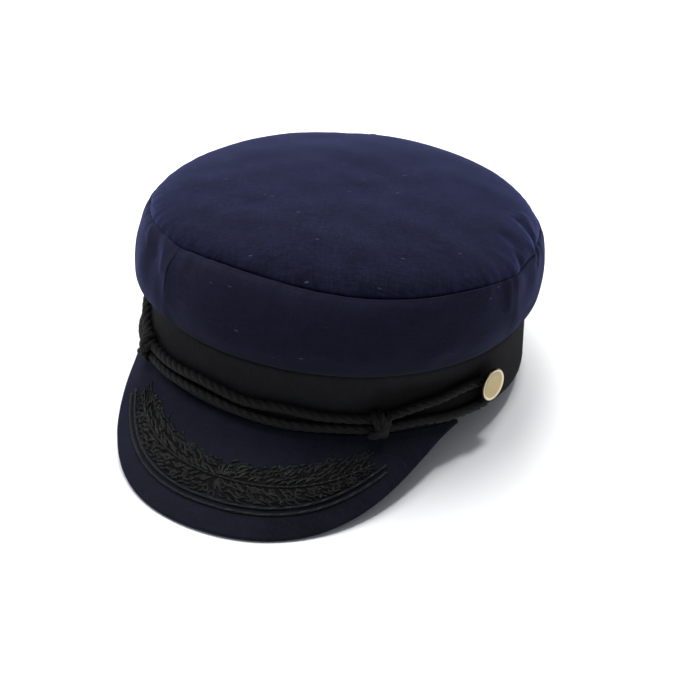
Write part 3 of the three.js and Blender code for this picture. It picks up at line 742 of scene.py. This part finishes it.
def band():
    angles = np.arange(0, 360, 360 / (RIBS.count * RIBS.columns))
    share, angle = across_grid(np.linspace(0, 1, 16), angles)
    foot = np.maximum(0, math.tan(LEAN) * (beside_band(angle, 0)[..., 1] - REST_LINE))
    height = foot + (BAND.height - foot) * share
    base = beside_band(angle, height)
    rib = np.abs(np.sin(np.radians(angle) * RIBS.count / 2)) ** RIBS.roundness
    edges = sum(bump(away * BAND.height, EDGE_REACH) for away in (share, 1 - share))
    outer = base + grid_normals(base, True) * (RIBS.depth * (rib - 1) - EDGE_ROUNDING * edges)[..., None]
    inner = beside_band(angle, height, -BAND.wall)
    add_piece("band", flat_sheet(outer, inner, True, angle * RIBBON_AROUND, height), black_ribbon)


band()

# %% [markdown]
# ## The peak
# The peak is stiff board covered with the same cloth. It slopes down and out from under the band, and
# its sides curl down to fit the head. A bent sheet would do from above, but its edge is rounded where
# the cloth wraps round the board, so the board's two faces are made and joined round that edge.

# %% Cover the peak
PEAK_DOWN = 1.3  # millimetres down the peak's slope for each millimetre of its plan


def peak_painted_light(along, across):
    """Painted darker to both sides, most of all to the wearer's left, and painted lighter back from the
    edge, as painted shade and light.
    """
    right = (1 - along.ramp(-70, -25)) * 0.15
    return across.ramp(-170, -132) * 0.15 - along.ramp(0, 50) * 0.4 - right


navy_peak_cloth = woven_finish("navy_peak_cloth", peak_painted_light)

# %% Make the peak
PEAK = Sizes(reach=43.5, half_span=65, wall=3.0, lip=0.9, slope=math.tan(math.radians(40.8)))
PEAK_TAPER = Sizes(span=76.9, power=2.24, sharpness=3)
PEAK_CURL = Sizes(drop=11.8, half_width=90, reach=40)
GAP = 0.3  # the peak hangs this far under the band's foot
LIP_ROWS = 1 - 0.03 * np.linspace(1, 0, 12)[1:] ** 2  # shares of the reach, closer towards the edge
PEAK_ROWS = np.concatenate([[-1, -0.5], np.linspace(0, 0.97, 40), LIP_ROWS])
PEAK_WAVES = (0.12, 6, 12, 50, 77)  # as for the crown


def peak_reach(angle):
    share = np.abs(np.asarray(angle) / PEAK_TAPER.span) ** PEAK_TAPER.power
    return PEAK.reach * (1 - share) ** PEAK_TAPER.sharpness


def on_peak(angle, out):
    """A point on the peak's upper face: angle around the cap, distance out from the band in plan."""
    points = beside_band(angle, 0, out)
    away = np.maximum(out, 0)
    curl = PEAK_CURL.drop * (points[..., 0] / PEAK_CURL.half_width) ** 2
    points[..., 2] = -GAP - PEAK.slope * away - curl * np.minimum(away / PEAK_CURL.reach, 1)
    return points


def above_peak(angle, out, lift):
    """The same face, lifted off square to it. Also gives the direction square to it."""
    angle, out, lift = np.broadcast_arrays(*map(np.asarray, (angle, out, lift)))
    around = on_peak(angle + 0.05, out) - on_peak(angle - 0.05, out)
    outward = on_peak(angle, out + 0.05) - on_peak(angle, out - 0.05)
    square = unit(np.cross(outward, around))
    return on_peak(angle, out) + square * lift[..., None], square


def peak():
    share, angle = across_grid(PEAK_ROWS, np.linspace(PEAK.half_span, -PEAK.half_span, 220))
    reach = peak_reach(angle)
    out = share * np.where(share < 0, BAND.wall, reach)
    into_lip = np.clip((out - (reach - PEAK.lip)) / PEAK.lip, 0, 1)
    half = PEAK.wall / 2 * np.sqrt(np.maximum(1 - into_lip**2, 0.0004))
    soft = soft_waves(on_peak(angle, out), out, *PEAK_WAVES)
    outer = above_peak(angle, out, half - PEAK.wall / 2 + soft)[0]
    points, faces = sheet_shell(outer, above_peak(angle, out, -half - PEAK.wall / 2)[0], False)
    add_piece("peak", (points, faces, points[:, :2] * (1, PEAK_DOWN)), navy_peak_cloth)


peak()

# %% [markdown]
# ## Twisted strands
# The cord round the band, the knots and the embroidery's border are all strands laid round each other.
# A smooth tube with a striped material looks right only from afar, so each strand is made as a tube of
# its own that winds around the middle of the rope.

# %% Gather forms into one piece
class Bundle:
    """Several closed forms gathered into one."""

    def __init__(self):
        self.points, self.faces, self.flats, self.count = [], [], [], 0

    def add(self, points, faces, flat):
        self.points.append(points)
        self.faces += [[corner + self.count for corner in face] for face in faces]
        self.flats.append(flat)
        self.count += len(points)

    def form(self):
        return np.concatenate(self.points), self.faces, np.concatenate(self.flats)

# %% Lay a rope along a curve
def between(first, second, start, end, t):
    """The point on the way from first to second at t, where t runs from start to end."""
    return (first * (end - t) + second * (t - start)) / (end - start)


def smooth_route(points, per_span=24):
    """A smooth curve through all the points, by centripetal Catmull-Rom spans."""
    points = np.asarray(points, float)
    points = np.concatenate([[2 * points[0] - points[1]], points, [2 * points[-1] - points[-2]]])
    pieces = []
    for a, b, c, d in zip(points, points[1:], points[2:], points[3:]):
        t1 = np.linalg.norm(b - a) ** 0.5
        t2 = t1 + np.linalg.norm(c - b) ** 0.5
        t3 = t2 + np.linalg.norm(d - c) ** 0.5
        t = np.linspace(t1, t2, per_span, endpoint=False)[:, None]
        ab, bc, cd = between(a, b, 0, t1, t), between(b, c, t1, t2, t), between(c, d, t2, t3, t)
        pieces.append(between(between(ab, bc, 0, t2, t), between(bc, cd, t1, t3, t), t1, t2, t))
    return np.concatenate([*pieces, points[-2:-1]])


def even_steps(values, lengths, step):
    """Values along a curve, read again at even steps of its length."""
    marks = np.linspace(0, lengths[-1], max(4, round(lengths[-1] / step)))
    return np.stack([np.interp(marks, lengths, column) for column in values.T], -1)


def rope(points, outward, radius, lay, strands=3, step=0.8, sides=14, fullness=0.63):
    """Points, faces and flat places of a rope. lay is the length of one full turn of its strands."""
    joined = np.concatenate([points, outward, np.broadcast_to(radius, (len(points), 1))], 1)
    joined = even_steps(joined, run_lengths(points, 0), step)
    points, outward, radius = joined[:, :3], joined[:, 3:6], joined[:, 6:]
    along = unit(np.gradient(points, axis=0))
    outward = unit(outward - along * (outward * along).sum(-1, keepdims=True))
    beside = np.cross(along, outward)
    length = run_lengths(points, 0)
    around = full_turn(sides)[None, :, None]
    bundle = Bundle()
    for strand in range(strands):
        turn = (2 * math.pi * (length / lay + strand / strands))[:, None]
        radial = outward * np.cos(turn) + beside * np.sin(turn)
        middle = points + radial * radius * (1 - fullness)
        sideways = np.cross(unit(np.gradient(middle, axis=0)), radial)
        ring = radial[:, None] * np.cos(around) + sideways[:, None] * np.sin(around)
        tube = (middle[:, None] + ring * fullness * radius[:, None]).reshape(-1, 3)
        flat = flat_places(length[:, None], around[..., 0] * fullness * radius)
        bundle.add(tube, capped_faces(len(points), sides), flat)
    return bundle.form()

# %% [markdown]
# ## Leaves in raised stitching
# The embroidery is a crescent of laurel leaves, small rings and knots in thick black satin stitch, over
# a pad of dark filling stitches. Each leaf stands up from the cloth, has a groove along its middle
# where the stitches of its two halves meet, and overlaps its neighbours. It could be a bump on the
# peak, but raised leaves catch the light at their real edges.

# %% Choose the thread for the stitching
STITCH_PITCH = 1.0  # millimetres between two stitches
THREAD_FINISHES = {  # darkest and lightest colour, slant of the stitches, depth, shine
    "black_thread": ((0.0014, 0.0014, 0.0015, 1), (0.0094, 0.0094, 0.0098, 1), 0.9, 0.3, 0.38),
    "ground_thread": ((0.0025, 0.0025, 0.0028, 1), (0.0095, 0.0095, 0.0102, 1), 0.2, 0.2, 0.04),
}


def thread_finish(name):
    """Thread laid side by side: stitches cross the piece at a slant."""
    dark, light, slant, depth, shine = THREAD_FINISHES[name]
    finish = Finish(name, Roughness=0.5, Specular_IOR_Level=shine)
    along, across, flat = finish.flat_map()
    uneven = finish.noise(flat, 0.8) - 0.5
    stitch = (along + abs(across) * slant + uneven * 0.5).ripple(STITCH_PITCH)
    tone = finish.noise(flat, 0.35, 3.0).ramp(0.36, 0.64)
    colour = finish.mix(stitch * 0.45 + tone * 0.55, dark, light)
    finish.set(Base_Color=colour, Roughness=0.44 - stitch * 0.14)
    finish.emboss(stitch, depth)
    return finish


black_thread, ground_thread = map(thread_finish, THREAD_FINISHES)

# %% Place stitches on the crescent
CRESCENT = Sizes(pull=0.21, span=40)  # the ends of the embroidery turn in towards the band
FULLER = Sizes(share=0.85, start=7, spread=26)  # and its band side grows wider, from this angle on
LEAVES = Sizes(middle=0.53, slimness=0.28, taper=0.37, smallest=0.42)
SLANT = math.cos(math.atan(PEAK.slope))


def on_crescent(angle, share):
    """How far out from the band a share of the peak's reach lies on the crescent."""
    return share * peak_reach(angle) * (1 - CRESCENT.pull * np.abs(angle / CRESCENT.span) ** 3)


def fuller(angle):
    """How much wider than at the middle the crescent's band side is."""
    return 1 + FULLER.share * np.clip((np.abs(angle) - FULLER.start) / FULLER.spread, 0, 1)


def stitch_place(angle):
    """Local directions on the crescent: x along the stem to the wearer's left, y up to the band."""
    rate = SLANT / on_crescent(angle, 1)
    radius = BAND.half_length + on_crescent(angle, LEAVES.middle)

    def place(x, y, lift):
        turned = angle + np.degrees(x / radius)
        return above_peak(turned, on_crescent(turned, LEAVES.middle - y * rate), lift)[0]

    return place

# %% Make the ground, a leaf, a knot and a ring
GROUND = Sizes(half_span=38, near=0.135, near_waves=0.018, far=0.165, far_waves=0.010, along=1.8)
LEAF = Sizes(bend=0.10, groove=0.42, groove_breadth=0.2)
RING_STEPS, THREAD_STEPS = 20, 8  # around a ring of thread, and around the thread itself


def stitched_ground():
    """A low pad of dark filling stitches under the leaves, with an uneven edge."""
    share, angle = across_grid(np.linspace(0, 1, 40), np.linspace(-GROUND.half_span, GROUND.half_span, 300))
    along = angle * GROUND.along
    narrow = np.sqrt(np.clip(1 - np.abs(angle / GROUND.half_span) ** 5, 0, 1))
    near = (GROUND.near + GROUND.near_waves * line_waves(along, 4, 9, 61)) * fuller(angle)
    far = GROUND.far + GROUND.far_waves * line_waves(along, 4, 9, 63)
    out = on_crescent(angle, LEAVES.middle + ((near + far) * share - near) * narrow)
    edge = np.sqrt(np.clip(1 - np.abs(2 * share - 1) ** 16, 0, 1)) * narrow
    top, bottom = [above_peak(angle, out, lift)[0] for lift in (-0.1 + 0.25 * edge, -0.3)]
    form = flat_sheet(bottom, top, False, along, out * PEAK_DOWN)
    add_piece("stitched_ground", form, ground_thread, stands_in=False)


def leaf(place, foot, length, heading, relief):
    """Points, faces and flat places of one leaf, pointed at both ends."""
    share, side = across_grid(np.linspace(0.015, 0.985, 10), np.linspace(-1, 1, 9))
    swell = np.sin(math.pi * share)
    half = length * LEAVES.slimness / 2 * np.sin(math.pi * share**0.8) ** 0.85
    x, y = share * length, side * half + LEAF.bend * length * swell * np.sign(heading)
    crown = np.sqrt(np.maximum(1 - side**2, 0)) * swell**0.35
    groove = LEAF.groove * bump(side, LEAF.groove_breadth) * swell**0.5
    turn = math.radians(heading)
    around = foot[0] + x * math.cos(turn) - y * math.sin(turn)
    upward = foot[1] + x * math.sin(turn) + y * math.cos(turn)
    top = place(around, upward, 0.05 + relief * (crown - groove).clip(0, 1))
    bottom = place(around, upward, np.full_like(x, -0.15))
    apart = 9.7 * foot[0] + 31.3 * foot[1]  # gives each leaf a tone of its own
    return flat_sheet(top, bottom, False, x + apart, side * half)


def berry(place, foot, radius):
    """A round knot of thread."""
    rise, turn = across_grid(np.linspace(0, math.pi / 2 * 0.97, 5), full_turn(12))
    x, y = radius * np.cos(rise) * (np.cos(turn), np.sin(turn))
    top = place(foot[0] + x, foot[1] + y, 0.2 + 0.9 * radius * np.sin(rise))
    points, faces = sheet_shell(top, place(foot[0] + 0.5 * x, foot[1] + 0.5 * y, 0 * x), True)
    return points, faces, points[:, :2]


def loop(place, foot, radius, thread=0.42):
    """A ring of thread laid on the cloth, with the dark ground showing in its middle."""
    turn, around = across_grid(full_turn(RING_STEPS), full_turn(THREAD_STEPS))
    x, y = (radius + thread * np.cos(around)) * (np.cos(turn), np.sin(turn))
    points = place(foot[0] + x, foot[1] + y, 0.45 * thread + thread * np.sin(around)).reshape(-1, 3)
    faces = skin_faces(RING_STEPS + 1, THREAD_STEPS, True)[:, [0, 3, 2, 1]] % len(points)
    return points, faces.tolist(), flat_places(turn * radius, around * thread)

# %% Lay out the leaves
LEAF_RANKS = (  # distance from the stem and along it, splay in degrees, length, relief
    (0.9, 0.0, 24, 6.0, 1.0),
    (2.8, 1.6, 12, 5.4, 0.9),
    (4.7, 0.4, 28, 5.2, 1.0),
    (6.5, 2.4, 8, 4.8, 0.9),
    (7.9, 0.9, 20, 4.4, 0.85),
)
LEAF_ANGLES = np.arange(-35.5, 35.6, 1.9)
FAN = Sizes(headings=range(-50, 51, 25), length=6.6, shorter=0.04, relief=0.8)
LAST_BERRY, BERRY_SHARE = 34, 0.35  # degrees, and the share of knots among the knots and rings


def leaf_embroidery():
    rng = np.random.default_rng(8)
    bundle = Bundle()
    for heading in FAN.headings:  # a small fan to both sides, where the two sprays meet
        for side in (1, -1):
            foot, length = (0.02 * heading, side * 0.8), FAN.length - abs(heading) * FAN.shorter
            bundle.add(*leaf(stitch_place(0.0), foot, length, side * 90 - heading, FAN.relief))
    for angle in LEAF_ANGLES:
        toward = 1 if angle >= 0 else -1
        tapered = 1 - LEAVES.taper * abs(angle / CRESCENT.span) ** 3
        small = max(tapered * on_crescent(angle, 1) / PEAK.reach, LEAVES.smallest)
        wide = {1: small * fuller(angle), -1: small}  # the band side, and the side to the peak's edge
        place = stitch_place(angle + rng.uniform(-0.3, 0.3))
        for away, ahead, splay, length, relief in LEAF_RANKS:
            for side in (1, -1):
                turn = side * (splay + rng.uniform(-14, 18))
                long = length * (small + wide[side]) / 2 * rng.uniform(0.8, 1.15)
                forth = toward * (ahead + rng.uniform(-0.5, 0.5))
                foot = (forth, side * wide[side] * (away + rng.uniform(-0.4, 0.4)))
                heading = turn if toward > 0 else 180 - turn
                bundle.add(*leaf(place, foot, long, heading, relief * rng.uniform(0.75, 1.15)))
        for side in (1, -1) if abs(angle) < LAST_BERRY else ():
            foot = (rng.uniform(0, 4), side * wide[side] * rng.uniform(3.0, 9.6))
            form, smallest, largest = (berry, 0.7, 1.0) if rng.uniform() < BERRY_SHARE else (loop, 1.1, 1.6)
            bundle.add(*form(place, foot, rng.uniform(smallest, largest)))
    return bundle

# %% Make the embroidery and its border
STEM = Sizes(middle=0.53, half_span=37, columns=300, radius=0.5, lift=0.4, lay=4.0, step=0.5)
BORDER = Sizes(middle=0.755, half_span=40, columns=400, radius=0.68, lift=0.51, lay=3.4, step=0.35)
BORDER_PITCH = 3.0  # millimetres between the border's two threads


def thread_rope(shape, outward=0.0):
    """A rope of thread along the crescent, moved outward by so many millimetres."""
    angles = np.linspace(-shape.half_span, shape.half_span, shape.columns)
    points, square = above_peak(angles, on_crescent(angles, shape.middle) + outward * SLANT, shape.lift)
    return rope(points, square, shape.radius, shape.lay, step=shape.step, sides=8)


stitched_ground()
embroidery = leaf_embroidery()
embroidery.add(*thread_rope(STEM))
add_piece("leaf_embroidery", embroidery.form(), black_thread)
border = Bundle()
for side in (-0.5, 0.5):
    border.add(*thread_rope(BORDER, side * BORDER_PITCH))
add_piece("border_embroidery", border.form(), black_thread)

# %% [markdown]
# ## Twisted cord
# The cord runs twice across the front, from button to button. Its ends are held behind the buttons.
# A curve could be drawn by hand in the viewport, but the route here is the one of the measured model,
# so that it dips and rises along the band as the model's does. Where the cord is pulled tight it
# presses a little into the ribbon.

# %% Make the twisted cord
CORD_DIAMETER, CORD_LAY = 4.7, 15.0
CORD_PRESSED = 0.55  # millimetres
CORD_OUT = 2.7  # millimetres from the band to the middle of the cord, where a place names no other
CORD_ROUTES = {  # angle around the cap, height on the band, distance from it
    "cord_upper": (
        (-78.6, 16.9), (-74, 17.4), (-69, 17.6, 2.8), (-64, 16.6, 2.8), (-58, 14.6, 2.8),
        (-51.5, 11.2, 2.8), (-45, 9.7, 2.9), (-39, 9.6), (-32, 10.1), (-25, 10.9), (-16, 11.9),
        (-8.5, 11.1), (-1.6, 9.9), (4.6, 10.2), (10.5, 10.9), (16.3, 10.3), (22, 9.4), (30, 8.9),
        (38.6, 8.6), (43, 10.2), (50, 13), (57, 14.6), (64, 16.6), (69, 17), (72.7, 16.7),
    ),
    "cord_lower": (
        (-83.3, 12.4), (-83.7, 9.6), (-82.9, 6.6), (-80.9, 4.8), (-76, 4.4), (-71, 4.3, 2.9),
        (-64, 4.3, 3.4), (-57, 4.2, 3.5), (-51, 4.2, 3.2), (-45, 4.2, 2.9), (-37, 4.2), (-31, 4.4),
        (-24, 5), (-17, 5.2), (-8, 4.8), (-1.3, 4.1), (5, 3.5), (11, 3.2), (17, 3.3), (28, 3.8),
        (38.6, 3.4), (44, 4.5), (51, 5.2), (60, 4.2), (71, 4.3), (75, 4.8), (77, 6.6), (77.8, 9.6),
        (77.4, 12.4),
    ),
}
CORD_DARK, CORD_LIGHT = (0.0034, 0.0034, 0.0036, 1), (0.0072, 0.0072, 0.0077, 1)
CORD_SHADE = Sizes(along=(185, 235), share=0.45)  # painted shade: darker towards the wearer's left button

black_cord = Finish("black_cord", Roughness=0.66, Specular_IOR_Level=0.16, Sheen_Weight=0.02,
                    Sheen_Roughness=0.4, Sheen_Tint=(0.8, 0.8, 0.85, 1))
along, across, flat = black_cord.flat_map()
yarn = (along * 0.7 + across).ripple(0.7)
fibre = black_cord.noise(black_cord.stretched(flat, 0.5, 2.5), 1.0, 3.0)
# painted shade along the last part of the cord
tone = yarn * 0.4 + fibre * 0.6 - along.ramp(*CORD_SHADE.along) * CORD_SHADE.share
black_cord.set(Base_Color=black_cord.mix(tone, CORD_DARK, CORD_LIGHT))
black_cord.emboss(yarn * 0.6 + fibre * 0.5, 0.16)


def cord(name):
    route = smooth_route([
        beside_band(angle, height, (out or [CORD_OUT])[0] - CORD_PRESSED)
        for angle, height, *out in CORD_ROUTES[name]
    ])
    print(name, "length, mm:", round(run_lengths(route, 0)[-1]))
    add_piece(name, rope(route, unit(route * (1, 1, 0)), CORD_DIAMETER / 2, CORD_LAY), black_cord)


for name in CORD_ROUTES:
    cord(name)

# %% [markdown]
# ## Knots
# A knot holds the two runs together near each side. It is the same cord, pulled tight: two turns pass
# over both runs side by side, and a third crosses them and leaves one short end below. A ball would
# do from afar, but the crossing turns are what makes it read as a knot.

# %% Make the knots
KNOTS = {"knot_right": (-45, 6.95), "knot_left": (38.6, 6.15)}  # angle, height on the band
KNOT_TURNS = (  # the places each turn passes: x along the band, z up, distance out from it
    ((-2.6, 5.0, 1.0), (-2.9, 4.6, 3.6), (-1.9, 2.4, 5.6), (-0.9, -0.6, 6.0), (-0.6, -3.8, 4.9),
     (-0.8, -5.4, 2.0)),
    ((0.2, 5.4, 1.0), (0.3, 5.1, 3.8), (1.2, 2.6, 6.0), (1.9, -0.8, 6.3), (2.2, -3.9, 5.1),
     (1.8, -5.6, 2.0)),
    ((3.4, 4.4, 1.2), (3.9, 3.4, 3.6), (3.0, 1.0, 5.6), (0.4, -1.6, 6.9), (-2.4, -3.6, 6.2),
     (-4.3, -4.9, 4.6)),
)
KNOT_MIDDLE = (0.3, 0.0, 1.5)
KNOT_RADIUS, KNOT_LAY = 2.05, 11.0


def beside_knot(angle, height, x, z, out):
    """A place near a knot: x along the band to the wearer's left, z up, out from the band."""
    return beside_band(angle + np.degrees(np.asarray(x) / BAND.half_length), height + z, out)


def knot(name, angle, height):
    bundle = Bundle()
    for turn in KNOT_TURNS:
        route = smooth_route(beside_knot(angle, height, *np.array(turn).T), 8)
        outward = unit(route - beside_knot(angle, height, *KNOT_MIDDLE))
        radius = KNOT_RADIUS * np.clip(np.linspace(0.8, 1.45, len(route)), 0, 1)[:, None]
        bundle.add(*rope(route, outward, radius, KNOT_LAY, step=0.5, sides=12))
    add_piece(name, bundle.form(), black_cord)


for name, place in KNOTS.items():
    knot(name, *place)

# %% [markdown]
# ## Buttons
# Each button is a flat disc of pale gold metal with a small rolled rim, on a shank. Its outline is
# turned round an axis, as it would be on a lathe; a bought disc with a bevel would lack the shank. The
# face has a fine brushed grain; the rim is painted paler as a painted highlight, and its outermost line
# darker as painted shade.

# %% Make the metal
BUTTON = Sizes(height=15.2, radius=8.2, thickness=1.9, shank=1.5)
GOLD_DULL, GOLD_LIGHT = (0.29, 0.235, 0.120, 1), (0.37, 0.305, 0.160, 1)
# painted highlight on the rim, and painted shade on its outermost line
RIM_HIGHLIGHT, RIM_SHADE = (0.62, 0.55, 0.40, 1), (0.040, 0.028, 0.010, 1)
RIM_WITHIN, RIM_SHADE_WITHIN = (1.3, 1.6), (0.25, 0.6)  # millimetres in from the edge

pale_gold = Finish("pale_gold", Metallic=1.0, Roughness=0.32)
along, across, flat = pale_gold.flat_map()
grain = pale_gold.noise(pale_gold.stretched(flat, 0.35, 5.0), 1.0, 3.0)
gold = pale_gold.mix(pale_gold.noise(flat, 0.25, 3.0), GOLD_DULL, GOLD_LIGHT)
from_edge = BUTTON.radius - (along * along + across * across) ** 0.5
# painted highlight near the edge, then painted shade on the outermost line
gold = pale_gold.mix((1 - from_edge.ramp(*RIM_WITHIN)) * 0.8, gold, RIM_HIGHLIGHT)
gold = pale_gold.mix(from_edge.ramp(*RIM_SHADE_WITHIN), RIM_SHADE, gold)
pale_gold.set(Base_Color=gold, Roughness=grain * 0.12 + 0.26)
pale_gold.emboss(grain, 0.012)

# %% Make the buttons
BUTTON_ANGLES = {"button_right": -80.5, "button_left": 74.6}
BUTTON_BACK = CORD_DIAMETER + 2 * GAP
BUTTON_SIDES = 96
RIM = Sizes(half_breadth=0.55, half_height=0.95)  # millimetres


def button_profile():
    """Distance from the axis, and distance out from the band, from the shank's foot to the face."""
    radius, shank = BUTTON.radius, BUTTON.shank
    back, face = BUTTON_BACK, BUTTON_BACK + BUTTON.thickness
    rim = [(radius + RIM.half_breadth * (math.cos(t) - 1), (back + face) / 2 + RIM.half_height * math.sin(t))
           for t in np.radians(np.linspace(-90, 90, 9))]
    return np.array([
        (0.001, GAP), (shank, GAP), (shank, back - 0.15), (shank + 0.3, back), *rim,
        (radius - 1.0, face - 0.05), (radius - 1.35, face - 0.28), (radius * 0.5, face - 0.22),
        (0.001, face - 0.2),
    ])


def button(name, angle):
    profile = button_profile()
    turn = full_turn(BUTTON_SIDES)
    foot = beside_band(angle, BUTTON.height)
    facing = unit(beside_band(angle, BUTTON.height, 1.0) - foot)
    sideways, up = np.cross((0, 0, 1), facing), np.array((0, 0, 1))
    ring = np.cos(turn)[None, :, None] * sideways + np.sin(turn)[None, :, None] * up
    points = (foot + profile[:, :1, None] * ring + profile[:, 1:, None] * facing).reshape(-1, 3)
    flat = flat_places(profile[:, :1] * np.cos(turn), profile[:, :1] * np.sin(turn))
    add_piece(name, (points, capped_faces(len(profile), BUTTON_SIDES), flat), pale_gold)


for name, angle in BUTTON_ANGLES.items():
    button(name, angle)

# %% [markdown]
# ## The floor
# A plain pale floor carries the cap and shows its shadow. It belongs to the studio, not to the cap.

# %% Make the floor
FLOOR_HALF = 4.0
floor_finish = Finish("studio_floor", Base_Color=(0.94, 0.94, 0.94, 1), Roughness=0.9)
corners = [(x * FLOOR_HALF, y * FLOOR_HALF, 0) for x, y in ((-1, -1), (1, -1), (1, 1), (-1, 1))]
floor_mesh = bpy.data.meshes.new("floor")
floor_mesh.from_pydata(corners, [], [(0, 1, 2, 3)])
floor_mesh.materials.append(floor_finish.material)
floor = add_object("floor", floor_mesh)
print("floor half width, m:", FLOOR_HALF)
